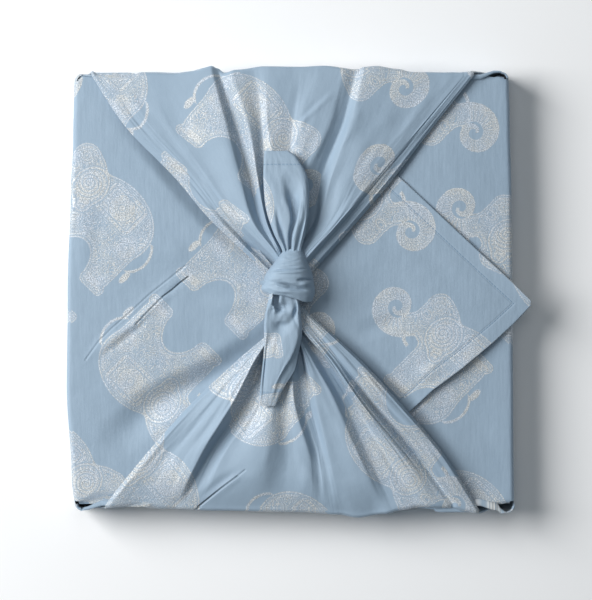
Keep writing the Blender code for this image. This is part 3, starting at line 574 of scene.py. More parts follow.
def add_flap(sheet, side, creases):
    """The bend over the parcel's edge and the plain flap to its tip, with its ears and hems."""
    flap, sign = FLAPS[side], SIGNS[side]
    tip, slant = flap["tip"], flap["slant"]
    rows, columns = flap["size"]
    t = np.linspace(0, 1, columns + 1)
    shoulder = sign * (WALL_OUT - RIM_R)
    south, north = flap_edges(side, shoulder)
    places = south + (north - south) * t
    out = along(OUTLINE[side], places)
    xs = np.linspace(shoulder, tip, rows + 1)
    s, n = (edge[:, None] for edge in flap_edges(side, xs))
    y = s + (n - s) * t
    # Near the wall the rows follow its bulging outline.
    x = xs[:, None] + (sign * (out - RIM_R) - shoulder) * (1 - step(0, 30, np.abs(xs - shoulder))[:, None])
    z = flap["level"] + swell(x, y) + crease_height(x, y, creases + HOLLOWS)
    z += noise(x / 34 + 7, y / 34) * 0.45 + noise((x + y) / 13 + 50, (x - y) / 26) * 0.22
    z += noise(x / 7, y / 7 + 30) * 0.07
    gone = np.clip((xs - slant) / (tip - slant), 0, 1)
    if side == "west":  # the tip's two edges lift off the flap below
        hump = np.sin(np.pi * np.clip((gone - 0.4) / 0.6, 0, 1)) ** 2
        z += 3.2 * hump[:, None] * (1 - t) ** 2
        z += 1.4 * step(0.45, 0.9, gone)[:, None] * t**3
    points, flat = joined(x, y, z), joined(sign * UP_WALL - x, y)
    # The hems: distance in from the free edges.
    distance = np.where(gone[:, None] > 0, np.minimum(y - s, n - y) / math.sqrt(2), NO_HEM)
    hem = joined(distance, xs[:, None] * math.sqrt(2))
    # Ears that hang down the end walls, turning into hems where the edges slant.
    blend = step(0.0, 0.06, gone)[:, None, None]
    for column, y_sign, ear_out in ((0, -1, flap["ear_out"][1]), (-1, 1, flap["ear_out"][0])):
        edge = points[:, column]
        inward = unit(np.tile([0.9 * sign, -y_sign, 0.0], (len(edge), 1)))
        hems = turned_edge(edge, inward, np.full(len(edge), HEM_W), inward)
        far = y_sign * np.maximum(ear_out, np.abs(edge[:, 1]) + 0.3 * (np.abs(edge[:, 0]) > 100)) - edge[:, 1]
        aside = far[:, None] * np.array([0, 1.0, 0])
        ear = []
        for a in np.linspace(0, math.pi / 2, 5)[1:]:
            down = EAR_BEND * (1 - math.cos(a)) + EAR_FOLD * math.sin(2 * a)
            ear.append(edge + aside * math.sin(a) - UP * down)
        for share in (0.12, 0.3, 0.5, 0.75, 1.0):
            ear.append(edge + aside - UP * (EAR_BEND + (EAR_DROP - EAR_BEND) * share))
        ear = np.stack(ear, axis=1)
        ear = ear + (hems - ear) * blend
        flip = (side == "west") == (y_sign > 0)
        sheet.strip(edge, ear, flat[:, column], np.array([0, y_sign]), EAR_AT, flip)
    sheet.grid(points, flat, hem, flip=(side == "west"))
    # The bend down to the wall.
    grid, flats = [points[0]], [flat[0]]
    for a, row in over_edge(side, places, out, points[0, :, 2]):
        grid.append(row)
        flats.append(joined(sign * (TOP_EDGE - RIM_R * a), places))
    sheet.grid(np.array(grid), np.array(flats), flip=(side == "east"))
    return places, points[0, :, 2] - RIM_R


WING_TOP = {"nw": 32.4, "ne": 32.6, "sw": 32.6, "se": 32.6}  # how high a corner and its wing stand
WING_START = 144.0  # the x at which a wing goes on from its corner
WING_REACH = (5.0, 14.0, 26.0)  # how far on its columns lie
CORNERS = {
    "ne": ("east", "north", 0.0),
    "nw": ("west", "north", 90.0),
    "sw": ("west", "south", 180.0),
    "se": ("east", "south", 270.0),
}
CORNER_TURNS = np.linspace(0.04, 0.96, 9)
ROUND = ("east", "ne", "north", "nw", "west", "sw", "south", "se")
FORWARD = {"east": 1, "north": -1, "west": -1, "south": 1}


def corner_points(corner, share, z):
    """A corner's quarter turn at one height, in the order of the round."""
    x_side, y_side, start = CORNERS[corner]
    x_sign, y_sign = SIGNS[x_side], SIGNS[y_side]
    x_out = standing(x_side, y_sign * 152, share) * x_sign
    wing = y_side + "_wing" if share > 0 else y_side
    y_out = standing(wing, x_sign * 148, share) * y_sign
    angle = np.radians(start + 90 * CORNER_TURNS)
    cx, cy = x_out - x_sign * CORNER_R, y_out - y_sign * CORNER_R
    return joined(cx + CORNER_R * np.cos(angle), cy + CORNER_R * np.sin(angle), z)


def add_floor(sheet, feet):
    """The floor's border and its bend up to the walls. Returns the floor's middle as one face."""
    parts = []
    for name in ROUND:
        if name in CORNERS:
            parts.append(corner_points(name, 0.0, 0.0))
        else:
            parts.append(side_point(name, feet[name][:: FORWARD[name]], WALL_OUT, 0.0))
    ring = np.concatenate(parts + [parts[0][:1]])
    insets = [(14.0, 0.0), (6.0, 0.0)]
    for a in np.linspace(0, math.pi / 2, 6):
        insets.append((FLOOR_R * (1 - math.sin(a)), FLOOR_R * (1 - math.cos(a))))
    rows, flats = [], []
    for inset, z in insets:
        row = ring * ((WALL_OUT - inset) / WALL_OUT)
        row[:, 2] = z
        rows.append(row)
        flats.append(row[:, :2] * (1 + z / WALL_OUT))
    index = sheet.grid(np.array(rows), np.array(flats))
    return [int(i) for i in index[0, :-1]][::-1]


def add_wall(sheet, side, places, top_z):
    """A standing wall with the corners at its ends and the wings that go on from them."""
    at = ROUND.index(side)
    ends = (ROUND[at - 1], True), (ROUND[(at + 1) % len(ROUND)], False)
    places, top_z = places[:: FORWARD[side]], top_z[:: FORWARD[side]]
    reach = np.array([0.0, 2.5, *WING_REACH])
    rows, flats = [], []
    for share in np.linspace(0, 1, WALL_ROWS + 1):
        z = FLOOR_R + (top_z - FLOOR_R) * share
        row = [side_point(side, places, standing(side, places, share), z)]
        flat = [side_point(side, places, WALL_OUT + z, 0.0)[:, :2]]
        for corner, first in ends:
            x_side, y_side, _ = CORNERS[corner]
            zc = FLOOR_R + (WING_TOP[corner] - FLOOR_R) * share
            turn = corner_points(corner, share, zc)
            xw = SIGNS[x_side] * (WING_START - reach)
            wing_out = standing(y_side + "_wing", xw, share) - 0.5 * share
            tucked = np.minimum(wing_out, WALL_OUT - 2.2 + 3.0 * share - 3.0 * share * (reach > 6))
            out = np.where(reach > 0, tucked, wing_out)
            wing_z = np.where(reach > 0, np.maximum(zc, 5.0), zc)
            wing = joined(xw, SIGNS[y_side] * out, wing_z)
            piece = np.concatenate([wing[::-1], turn] if first else [turn, wing])
            # On the flat cloth the corner goes on past the wall's end.
            steps = np.abs(np.arange(len(piece)) - (len(piece) if first else -1)) * 2.0
            along_wall = places[0 if first else -1] + SIGNS[y_side] * steps
            piece_flat = side_point(side, along_wall, WALL_OUT + zc, 0.0)[:, :2]
            row = [piece] + row if first else row + [piece]
            flat = [piece_flat] + flat if first else flat + [piece_flat]
        rows.append(np.concatenate(row))
        flats.append(np.concatenate(flat))
    rows, flats = np.array(rows), np.array(flats)
    sheet.grid(rows, flats)
    # The corners' top edges turn inward.
    count = len(CORNER_TURNS) + len(reach)
    for corner, first in ends:
        section = slice(0, count) if first else slice(rows.shape[1] - count, rows.shape[1])
        edge = rows[-1, section]
        x_side, y_side, _ = CORNERS[corner]
        turn = step(WALL_OUT - 7, WALL_OUT, np.abs(edge[:, 0]))
        inward = unit(joined(-SIGNS[x_side] * turn, -SIGNS[y_side] * (1.05 - turn), 0))
        wide = straight(LIPS[corner], edge[:, 0])[:, None]
        lip = [edge, edge + inward * 0.25 + UP * 0.35, edge + inward * 0.7 + UP * 0.45]
        for share, down in ((0.5, 0.25), (0.8, -0.1), (1.0, -0.5)):
            lip.append(edge + inward * (0.7 + (wide - 0.7).clip(0.1) * share) + UP * down)
        lip.append(edge + inward * (wide.clip(0.8) + 0.2) - UP * 1.6)
        lip.append(edge + inward * (wide.clip(0.8) - 0.2) - UP * 6.0)
        sheet.grid(np.array(lip), np.stack([flats[-1, section]] * len(lip)))


def wrapped_cloth():
    """The whole sheet: two gathers, two flaps with their walls, and the floor."""
    sheet = Sheet()
    feet = {
        "north": add_gather(sheet, "north", NORTH_FOLDS, NORTH_STATIONS, NORTH_CREASES),
        "south": add_gather(sheet, "south", SOUTH_FOLDS, SOUTH_STATIONS, SOUTH_CREASES),
    }
    for side, creases in (("west", WEST_CREASES), ("east", EAST_CREASES)):
        feet[side], top_z = add_flap(sheet, side, creases)
        add_wall(sheet, side, feet[side], top_z)
    return sheet.object("cloth", extra_faces=[add_floor(sheet, feet)])


# -------- the knot
BAND = [  # plan positions of its west and east sides from north to south, side height and top height in mm
    ((283.2, 251.1), (301, 248.5), 44, 50.6),
    ((278.6, 256.9), (304.1, 254.4), 43, 53.8),
    ((274.5, 262.6), (307.1, 260.5), 42, 56.4),
    ((268.5, 270), (309.9, 267.7), 41.2, 58.8),
    ((265, 275.8), (312.6, 274.5), 41, 60),
    ((263.2, 282), (313.8, 283), 41, 60),
    ((261.3, 288.6), (315, 291.6), 41.6, 59),
    ((262.8, 291.4), (312.5, 300.6), 42.4, 57.6),
]
BAND_LIP = [(262.8, 291.4), (273, 293.4), (285.7, 295.2), (295.9, 297.5), (306, 300.8), (312.5, 300.6)]
BAND_CREASES = [
    ([(270, 270.8), (284, 270.4), (296, 270), (309, 269)], 0.9, -1.2, 0.9),
    ([(269, 273.4), (290, 272.8), (308, 272)], 1.4, 0.8, 0.3),
    ([(280, 263.6), (290, 262.6), (301, 260.6)], 0.9, -0.8, 0.9),
    ([(284, 258.2), (294, 257.4), (303, 256.4)], 0.8, -0.6, 0.8),
    ([(278, 267.2), (290, 266.8), (306, 265.6)], 0.8, -0.6, 0.8),
    ([(286, 254.4), (295, 253.6), (302, 252.8)], 0.7, -0.45, 0.8),
    ([(296, 280.8), (303, 279.8), (309, 279.8), (316, 280.6)], 1.5, -2.8, 0.7),
    ([(298, 284.4), (307, 283.8), (316, 283.4)], 2.4, 1.8, 0),
    ([(272, 284.6), (284, 285.2), (292, 287.4), (303, 289.4), (315, 291.4)], 2.8, -2.4, 0.3),
    ([(264, 287.6), (276, 290.6), (290, 292.4), (304, 296)], 2, 1, 0),
    ([(262, 280.4), (274, 279), (286, 280.4)], 2.6, 0.9, 0),
]

NORTH_TAIL_ROWS = (152, 156, 163, 174.5, 186, 197.4, 208.9, 220.4, 235.7, 249, 258)
NORTH_TAIL_LEVEL = (46.2, 46.4, 46.8, 47.4, 48, 48.6, 49.2, 49.8, 50.4, 49.6, 48.6)
NORTH_TAIL = [  # plan x of each line from west to east at those rows, and its height over the level, in mm
    ((265, 264.4, 263.8, 263.4, 263.8, 264.5, 266, 269, 274.7, 281.5, 284),
     (0,) * 11),
    ((266.2, 265.6, 265, 264.6, 265, 265.8, 267.4, 270.4, 275.9, 282.4, 284.8),
     (0.6, 1, 1.4, 1.7, 1.9, 2, 2, 1.8, 1.5, 0.9, 0.6)),
    ((268.4, 268.2, 268, 268, 269, 270.4, 272.6, 275.2, 279.2, 284.4, 286.2),
     (0.8, 1.2, 1.7, 2.1, 2.6, 2.8, 2.8, 2.6, 2.2, 1.2, 0.6)),
    ((270.8, 271, 271.4, 272, 273.6, 275.2, 277, 278.6, 282.2, 286, 287.4),
     (0.8, 1.3, 1.8, 2.3, 2.9, 3, 2.8, 1.4, -0.8, -0.8, 0)),
    ((273, 273.8, 275, 276.4, 278.2, 279.8, 281.2, 282.2, 285, 287.3, 288.4),
     (0.8, 1.4, 2, 2.5, 3, 3.2, 3.2, 2.8, 2, 1.2, 0.6)),
    ((275.4, 276.8, 278.8, 281, 282.6, 285, 288.8, 290.2, 288.3, 288.7, 289.4),
     (0.8, 1.4, 2.1, 2.6, 2.8, 2.8, 3.2, 3.2, 2.4, 1.3, 0.6)),
    ((277.6, 279.6, 282.4, 285.2, 287.4, 290, 291.8, 292.6, 289.9, 289.8, 290.2),
     (0.8, 1.5, 2.2, 2.7, 1.4, -0.6, -2.2, -2.4, -1.6, -1.2, -0.2)),
    ((280, 282.6, 286, 289.6, 292.6, 295, 296.6, 295.6, 291.6, 290.9, 291.2),
     (0.8, 1.5, 2.3, 2.8, 1.3, -0.6, -2.6, -2.6, -1.6, -1.2, -0.2)),
    ((282.2, 285.2, 289.4, 293.8, 297.8, 299.6, 299, 297.2, 293.2, 292, 292.2),
     (0.8, 1.6, 2.4, 2.9, 2.4, 2.6, 3.8, 3.8, 3.4, 1.8, 0.8)),
    ((284, 287.8, 292.8, 297.6, 301.2, 302.8, 302.4, 300.6, 296.6, 293.8, 293.8),
     (0.8, 1.6, 2.5, 3.1, 3.3, 4, 4.6, 4.6, 4.2, 2.4, 1.2)),
    ((285.4, 290, 295.6, 300.8, 303.8, 305, 305, 304, 300.3, 296.8, 296.2),
     (0.8, 1.6, 2.5, 3.1, 3.5, 3.9, 4, 3.4, 2.2, 0.9, 0.6)),
    ((286.6, 291.8, 297.6, 303.2, 305.8, 306.9, 306.8, 305.8, 302.6, 299, 298),
     (0.7, 1.5, 2.3, 2.8, 3.2, 3.4, 3.6, 3.4, 2.8, 1.5, 0.8)),
    ((287.4, 293.6, 299, 305.3, 307.6, 308.3, 307.8, 306.6, 304.1, 300.6, 299.3),
     (0.5, 1, 1.6, 1.9, 2, 2.1, 2.2, 2, 1.5, 0.9, 0.5)),
    ((288, 294.8, 300, 306.3, 308.6, 309.2, 308.6, 307.4, 304.9, 301.4, 300),
     (0.1, 0, 0, 0, 0, 0, 0, 0, 0, 0, 0)),
]
SOUTH_TAIL_ROWS = (286, 296, 302, 305.5, 309.5, 314, 320, 326, 338, 353.7, 369.7, 381.6, 392, 400,
                   405)
SOUTH_TAIL_LEVEL = (52, 51.4, 50.8, 50.4, 49.9, 49.4, 48.8, 48.2, 47.4, 46.8, 46.5, 46.4, 46.4, 46.4, 46.4)
SOUTH_TAIL = [  # in the same way
    ((270, 269, 268.1, 267.2, 266.3, 265.3, 264.6, 264.1, 264.1, 263.7, 262.1, 260.9, 259.9, 259.2, 258.8),
     (0,) * 15),
    ((271.6, 270.6, 269.7, 268.8, 267.9, 266.9, 266.2, 265.7, 265.6, 265.1, 263.4, 262.2, 261.2, 260.5, 260.1),
     (2.2, 2.4, 2.8, 3, 3.1, 3.2, 3.2, 3.2, 3, 2.4, 1.8, 1.3, 0.9, 0.7, 0.4)),
    ((273.4, 273.4, 272.6, 272.6, 272.4, 271, 270.2, 269.6, 268.4, 266.3, 264.9, 264, 263, 262, 261.4),
     (3.2, 3.4, 3.6, 3.4, 3, 3.2, 3.3, 3.2, 3, 1.5, 0.8, 0.7, 0.8, 0.7, 0.4)),
    ((274.6, 274.8, 273.8, 274.6, 275.4, 274.6, 274, 273.6, 272, 268, 266.4, 265.5, 264.6, 263.6, 262.8),
     (-14, -14, -13, 1, 3, 3.2, 3, 2.6, 2.8, 2.6, 2, 1.4, 1, 0.8, 0.4)),
    ((277.4, 278.2, 277.2, 278.2, 279.4, 278.8, 278.2, 277.4, 276, 272.6, 270.2, 268.6, 267.2, 266, 265),
     (-14, -14, -14, -10, -1.5, 2.6, 3, 1.2, 3.2, 3.3, 2.7, 2, 1.4, 1, 0.5)),
    ((278.8, 279.8, 279.4, 281.2, 282.8, 282.6, 281.8, 281.2, 280, 277.2, 273.8, 271.4, 269.6, 268.2, 267),
     (2.6, 2.8, 2.2, 0.6, 1, 3.2, 3, 0.8, 3.4, 3.9, 3.3, 2.4, 1.6, 1.1, 0.5)),
    ((284, 285, 286, 286.6, 287.2, 287, 286.4, 286, 285, 282.4, 278.2, 274.6, 271.8, 270, 268.6),
     (2.8, 3.2, 2.2, 1.4, 2, 3.2, 3.2, 1.6, 3.9, 4.4, 3.7, 2.6, 1.7, 1.1, 0.5)),
    ((288.6, 289.8, 291, 292, 292.4, 291.8, 291, 290.6, 290.4, 287.4, 281.2, 276.2, 273, 271.1, 269.6),
     (2.4, 2.8, 2.8, 2.8, 2.8, 2.6, 2.4, 3.2, 4.3, 4.7, 3.9, 2.8, 1.8, 1.1, 0.5)),
    ((292, 293.4, 295, 296.4, 296, 294.8, 294.2, 295.6, 296.4, 292.6, 283.2, 277, 273.9, 272.2, 270.8),
     (1.8, 2.2, 2.4, 1.6, 0.3, 0.5, 2.2, 3.4, 4.1, 4.5, 3.9, 2.8, 1.8, 1.1, 0.5)),
    ((295, 296, 297, 297.8, 297.8, 297.4, 297.8, 298.6, 299, 294.4, 286.2, 279.8, 276, 273.8, 272.2),
     (1.8, 2.2, 2.8, 3, 3, 3, 3, 3, 3, 2.6, 2, 1.6, 1.2, 0.9, 0.4)),
    ((297.2, 297.9, 298.5, 299, 299.3, 299.5, 299.9, 300.5, 300.4, 296.8, 290.8, 284, 279.2, 276.2, 274.2),
     (1.2, 1.2, 1.8, 1.9, 2, 2, 2, 2, 1.7, 1.2, 0.9, 0.8, 0.8, 0.6, 0.3)),
    ((298.6, 299.2, 299.6, 300, 300.4, 300.8, 301.4, 302, 301.6, 298.4, 294.6, 287.4, 281.5, 278, 275.4),
     (0,) * 15),
]
STRIP_DEPTH = 1.5  # how thick a free end is below its edges, in mm

# Where the knot's pieces lie on the flat cloth: their turn, and the place of the parcel's middle in mm.
ON_CLOTH = {
    "knot_band": (0.339, 168.1, 271.6),
    "tail_north": (4.928, 290.0, 124.0),
    "tail_south": (2.199, 336.7, 40.3),
}


def place_on_cloth(name, x, y):
    """Where a place on the knot, in mm, lies on the flat cloth, which is drawn in a little there."""
    turn, u, v = ON_CLOTH[name]
    cos, sin = 1.15 * math.cos(turn), 1.15 * math.sin(turn)
    return joined(x * cos - y * sin + u, x * sin + y * cos + v)


def turned_in(edge, inside, radius, angles, backs):
    """Rings that roll in from an open end and go back inside it. backs are pairs: how far back and how deep."""
    flow = unit(edge - inside)
    inward = unit((edge.mean(axis=0) - edge) * (1, 0.2, 1))
    turns = [(radius * math.sin(a), radius * (1 - math.cos(a))) for a in np.radians(angles)]
    turns += [(-back, deep) for back, deep in backs]
    return np.array([edge + flow * on + inward * deep for on, deep in turns])


def band():
    """The cloth that crosses over the knot, from its narrow north end to its flared south mouth."""
    v = np.linspace(0, len(BAND) - 1, 96)
    rings = smooth([(*west, *east, low, high) for west, east, low, high in BAND], v)
    angles = np.radians(np.linspace(-62, 242, 133))
    wx, wy = plan_mm(rings[:, :2])
    ex, ey = plan_mm(rings[:, 2:4])
    cos, sin = np.cos(angles), np.sin(angles)
    share = (1 - np.sign(cos) * np.abs(cos) ** 0.86) / 2  # 0 at the east side and 1 at the west side
    x = ex[:, None] + (wx - ex)[:, None] * share
    y = ey[:, None] + (wy - ey)[:, None] * share
    up = np.maximum(sin, 0) ** 0.82
    z = rings[:, 4][:, None] + (rings[:, 5] - rings[:, 4])[:, None] * up - 6.0 * np.maximum(-sin, 0)
    # The south lip bows with the outline.
    far = step(0.35, 1.0, v / v[-1])[:, None]
    y = y + (np.interp(x[-1], *plan_mm(BAND_LIP)) - y[-1]) * far * (sin > -0.2)
    z = z + crease_height(x, y, BAND_CREASES) * np.clip(up * 1.6, 0, 1)
    z = z + noise(x / 7 + 11, y / 2.2 + 4) * 0.35 * up + noise(x / 3.4, y / 1.3 + 70) * 0.12 * up
    grid = joined(x, y, z)
    south = turned_in(grid[-1], grid[-6], 1.0, range(30, 181, 30), [(2, 2.24), (5, 2.6), (9, 3.08)])
    north = turned_in(grid[0], grid[5], 0.7, range(45, 181, 45), [(2, 1.8), (5, 1.8)])
    grid = np.concatenate([north[::-1], grid, south])
    sheet = Sheet()
    sheet.grid(grid, place_on_cloth("knot_band", grid[..., 0], grid[..., 1]))
    return sheet.object("knot_band")


def tail(name, rows, levels, lines, northward):
    """A free end of the tie: a strip folded on itself, open above and closed below."""
    heights = np.array([line[1] for line in lines]).T + np.array(levels)[:, None]
    x, y = plan(np.array([line[0] for line in lines]).T, np.array(rows)[:, None])
    stations = joined(x / MM, y / MM, heights)
    v = np.linspace(0, len(rows) - 1, 150)
    across = np.linspace(0, len(lines) - 1, (len(lines) - 1) * 8 + 1)
    top = smooth(smooth(stations, v).transpose(1, 0, 2), across).transpose(1, 0, 2)
    x, y = top[..., 0], top[..., 1]
    inner = step(0, 1, np.minimum(across, across[-1] - across))
    to_knot = v[:, None] / v[-1] if northward else 1 - v[:, None] / v[-1]
    worked = noise(across * 1.3 + 20, v[:, None] * 0.9) * 0.3 + noise(x / 2.4, y / 5 + 33) * 0.12
    top[..., 2] += worked * inner * (0.15 + 0.85 * to_knot)
    west, east = top[:, 0], top[:, -1]
    under = []
    for share in np.linspace(0, 1, 25)[1:-1]:
        depth = STRIP_DEPTH * math.sin(math.pi * share) ** 0.4
        under.append(east + (west - east) * share - UP * depth)
    whole = np.concatenate([top, np.stack(under, axis=1), top[:, :1]], axis=1)
    distance = np.abs(whole[..., 1] - whole[-1 if northward else 0, 0, 1])
    flat = place_on_cloth(name, whole[..., 0], whole[..., 1])
    sheet = Sheet()
    sheet.grid(whole, flat, joined(distance.max() - distance, whole[..., 0]), flip=northward)
    # The tip is closed.
    tip_row = 0 if northward else -1
    tip = whole[tip_row]
    to_middle = tip.mean(axis=0) - tip
    cap = np.array([tip + to_middle * (0.3 * share, 0.1 * share, share) for share in (0.0, 0.35, 0.7, 0.98)])
    sheet.grid(cap, np.broadcast_to(flat[tip_row], cap.shape[:2] + (2,)), flip=not northward)
    return sheet.object(name)


# -------- the printed cotton
def set_input(tree, slot, value):
    """Join a node's input to a field or to another node's output, or set it to a value."""
    if isinstance(value, Field):
        value = value.socket
    if isinstance(value, bpy.types.NodeSocket):
        tree.links.new(value, slot)
    else:
        slot.default_value = value


def operation(name):
    """A method of Field that is one node."""
    return lambda self, *others: self.node(name, self, *others)


class Field:
    """A number that changes over the surface: a node's output with ordinary arithmetic."""

    def __init__(self, tree, socket):
        self.tree, self.socket = tree, socket

    def node(self, name, *inputs, clamp=False):
        node = self.tree.nodes.new("ShaderNodeMath")
        node.operation, node.use_clamp = name, clamp
        for slot, value in zip(node.inputs, inputs):
            set_input(self.tree, slot, value)
        return Field(self.tree, node.outputs[0])

    __add__ = __radd__ = operation("ADD")
    __mul__ = __rmul__ = operation("MULTIPLY")
    __sub__, __truediv__ = operation("SUBTRACT"), operation("DIVIDE")
    least, most, blend = operation("MINIMUM"), operation("MAXIMUM"), operation("SMOOTH_MIN")
    size, floor, sin, cos = operation("ABSOLUTE"), operation("FLOOR"), operation("SINE"), operation("COSINE")

    def __rsub__(self, other):
        return self.node("SUBTRACT", other, self)

    def __neg__(self):
        return self * -1

    def wrapped(self, low, high):
        return self.node("WRAP", self, high, low)

    def folded(self, period):
        """Distance to the nearest multiple of the period."""
        return self.wrapped(-period / 2, period / 2).size()

    def clamped(self):
        return self.node("ADD", self, 0, clamp=True)

    def under(self, edge, soft=0.25):
        """1 where this is less than the edge, with a soft change."""
        return self.node("MULTIPLY_ADD", self, -0.5 / soft, 0.5 + 0.5 * edge / soft, clamp=True)

    def line(self, half, soft=0.25):
        """1 on a line of this half width where this is 0."""
        return self.size().under(half, soft)


def hypotenuse(a, b):
    return a.node("SQRT", a * a + b * b)


def angle_of(y, x):
    return y.node("ARCTAN2", y, x)


def ellipse(x, y, cx, cy, rx, ry):
    """Distance outside an ellipse, negative inside."""
    return (hypotenuse((x - cx) / rx, (y - cy) / ry) - 1) * min(rx, ry)


def segment(x, y, start, end, half):
    """Distance outside a rounded bar."""
    dx, dy = end[0] - start[0], end[1] - start[1]
    t = (((x - start[0]) * dx + (y - start[1]) * dy) / (dx * dx + dy * dy)).clamped()
    return hypotenuse(x - start[0] - t * dx, y - start[1] - t * dy) - half


def block(x, y, cx, cy, half_x, half_y, corner):
    """Distance outside a rounded rectangle."""
    qx = (x - cx).size() - (half_x - corner)
    qy = (y - cy).size() - (half_y - corner)
    return hypotenuse(qx.most(0.0), qy.most(0.0)) + qx.most(qy).least(0.0) - corner


def rosette(x, y, cx, cy, radius, petals):
    """Unprinted lines of a round flower: two rings, petals and a middle. Also how far out its edge is."""
    dx, dy = x - cx, y - cy
    r = hypotenuse(dx, dy)
    petal = (angle_of(dy, dx) * (petals / 2)).cos().size()
    leaf = (r - petal * (radius * 0.34) - radius * 0.50).line(0.22)
    ring = (r - radius).line(0.26)
    inner = (r - radius * 0.26).line(0.24)
    heart = (r - petal * (radius * 0.20) - radius * 0.30).line(0.20)
    return ring.most(leaf).most(inner).most(heart) * r.under(radius + 0.4), r - radius


def dots(along_row, off_row, period, radius, soft=0.25):
    """1 on a row of round dots."""
    return hypotenuse(along_row.folded(period), off_row).under(radius, soft)


def over(below, above, where):
    """One drawing in place of another where a field is 1."""
    return (below * (1 - where)).most(above * where)


def elephant(x, y, swirl, cells):
    """A block-printed elephant, 1 where the cloth is printed. x and y are in mm from its middle. swirl is a
    field of curling bands from -1 to 1, and cells one of small round spots from 0 in their middles."""
    x = x + 6
    back = ellipse(x, y, -10, 6, 33, 25)
    legs = block(x, y, -9, -15, 32, 22, 9)
    arch = ellipse(x, y, -9.5, -38, 13.5, 20)
    feet = block((x + 9.3).size(), y, 23.6, -36, 9.7, 3.8, 3.4)
    head = ellipse(x, y, 25, 14, 15, 17).blend(ellipse(x, y, 31, 24, 9, 9), 5)
    head = head.blend(segment(x, y, (30, 12), (37, 1.5), 7.2), 4)
    tx, ty = x - 52, y - 3  # the trunk curls up in a spiral about this point
    turn = angle_of(-ty, -tx).wrapped(0, 2 * math.pi)
    r = hypotenuse(tx, ty)
    trunk_line = r - (15.4 - turn * 1.6)
    trunk = trunk_line.size() - (7.2 - turn * 0.77)
    tip = ((r - (5.35 - turn * 1.5)).size() - (2.2 - turn * 0.5)).most((turn - 2.4) * 4)
    body = -((-(back.blend(legs, 4))).blend(arch, 4))
    torso = body.blend(feet, 3).blend(head, 8)
    whole = torso.blend(trunk, 4).least(tip)
    tail = ((hypotenuse(x + 33, y + 1) - 16.5).size() - 0.9).most((y + 1).size() - 13).most(x + 38)
    tail = tail.least(ellipse(x, y, -45.8, -17, 2.2, 5))
    tusk_r = hypotenuse(x - 28, y + 2)
    tusk = ((tusk_r - 9).size() - 1.25).most(-(x - 28)).most(y + 2.5)
    printed = whole.least(tail).least(tusk).under(0)
    on_trunk = trunk.least(tip).under(0.6) * (1 - head.under(-1))
    # Lines and spots where the cloth shows through.
    edge = (whole + 1.1).line(0.32)
    beads = dots((x + y) * 0.7, whole + 2.1, 1.9, 0.55, 0.2) * 0.6
    curls = swirl.under(0, 0.25) * whole.under(-2.9)
    saddle = block(x, y, -11, 15, 17.5, 13.5, 6)
    flower, flower_out = rosette(x, y, -11, 15.5, 9.4, 12)
    rump, rump_out = rosette(x, y, -32, -2, 7.4, 10)
    shoulder, shoulder_out = rosette(x, y, 11.5, -11, 6.4, 8)
    brow, brow_out = rosette(x, y, 31.5, 24, 4.6, 8)
    spots = (cells - 0.30).line(0.07, 0.06).most(cells.under(0.10, 0.05))
    border = (saddle + 1.3).line(0.34).most((saddle + 4.4).line(0.34)).most(saddle.line(0.42))
    border = border.most(dots(x, saddle + 2.8, 2.7, 0.55))
    fringe_rows = (y - 1.5).under(-1.6, 0.2) * (1 - (y - 1.5).under(-5.2, 0.2))
    fringe = x.folded(2).under(0.34) * fringe_rows * (x + 11).line(16)
    on_saddle = saddle.under(0.3) * back.under(-1.4)
    ear = ellipse(x, y, 15, 11, 12.5, 15).blend(ellipse(x, y, 10.5, -1.5, 6, 6.5), 5)
    ex, ey = x - 17, y - 12
    ear_r = hypotenuse(ex, ey)
    coil = (ear_r / 2.7 - angle_of(ey, ex) / (2 * math.pi)).wrapped(-0.5, 0.5).line(0.10, 0.08)
    on_ear = ear.under(0.3)
    ear_edge = ear.line(0.45).most((ear + 2.1).line(0.3))
    scallops = dots(angle_of(ey, ex) * 12, ear + 3, 2.6, 0.6)
    ear_marks = ear_edge.most(coil * ear.under(-4.2)).most(scallops * 0.8)
    eye = ellipse(x, y, 34.4, 14, 3.2, 1.8)
    eye_marks = eye.line(0.26).most(eye.under(-0.9)).most((eye - 1.5).line(0.16))
    cuff_row = y + 28.6
    cuffs = (cuff_row.size() - 2.3).line(0.24)
    cuffs = cuffs.most(dots(x, cuff_row, 2.2, 0.6)).most((cuff_row.size() - 1.3).line(0.14))
    on_cuff = cuff_row.line(2.6)
    toes = (hypotenuse(((x + 9.3).size() + 0.6).folded(4.4), y + 39.4) - 2.6).line(0.26)
    on_foot = (y + 31.2).under(0)
    wrinkles = (turn * (2.4 + turn * 0.12)).folded(0.62).under(0.055, 0.035) * trunk_line.under(1.6, 1.5)
    grit = swirl.under(-0.55, 0.2) * 0.55 * on_trunk * trunk.least(tip).under(-1)
    marks = curls * 0.95 * (1 - on_foot) * (1 - on_trunk)
    for own, out in ((rump, rump_out), (shoulder, shoulder_out), (brow, brow_out)):
        marks = (marks * (1 - out.under(0.8))).most(own)
    marks = over(marks, cuffs, on_cuff).most(toes * on_foot)
    saddle_marks = border.most(spots * saddle.under(-5) * (1 - flower_out.under(0.8))).most(flower)
    marks = over(over(marks.most(fringe), saddle_marks, on_saddle), ear_marks, on_ear)
    marks = (marks * (1 - eye.under(1.9))).most(eye_marks)
    marks = (marks * whole.under(-1.2)).most(edge.most(beads) * (1 - on_ear))
    gaps = over(marks, wrinkles * trunk.under(-0.3), on_trunk).most(grit)
    return printed * (1 - gaps * 0.95)


TILE = (122.0, 98.0)  # one elephant's place on the cloth, in mm


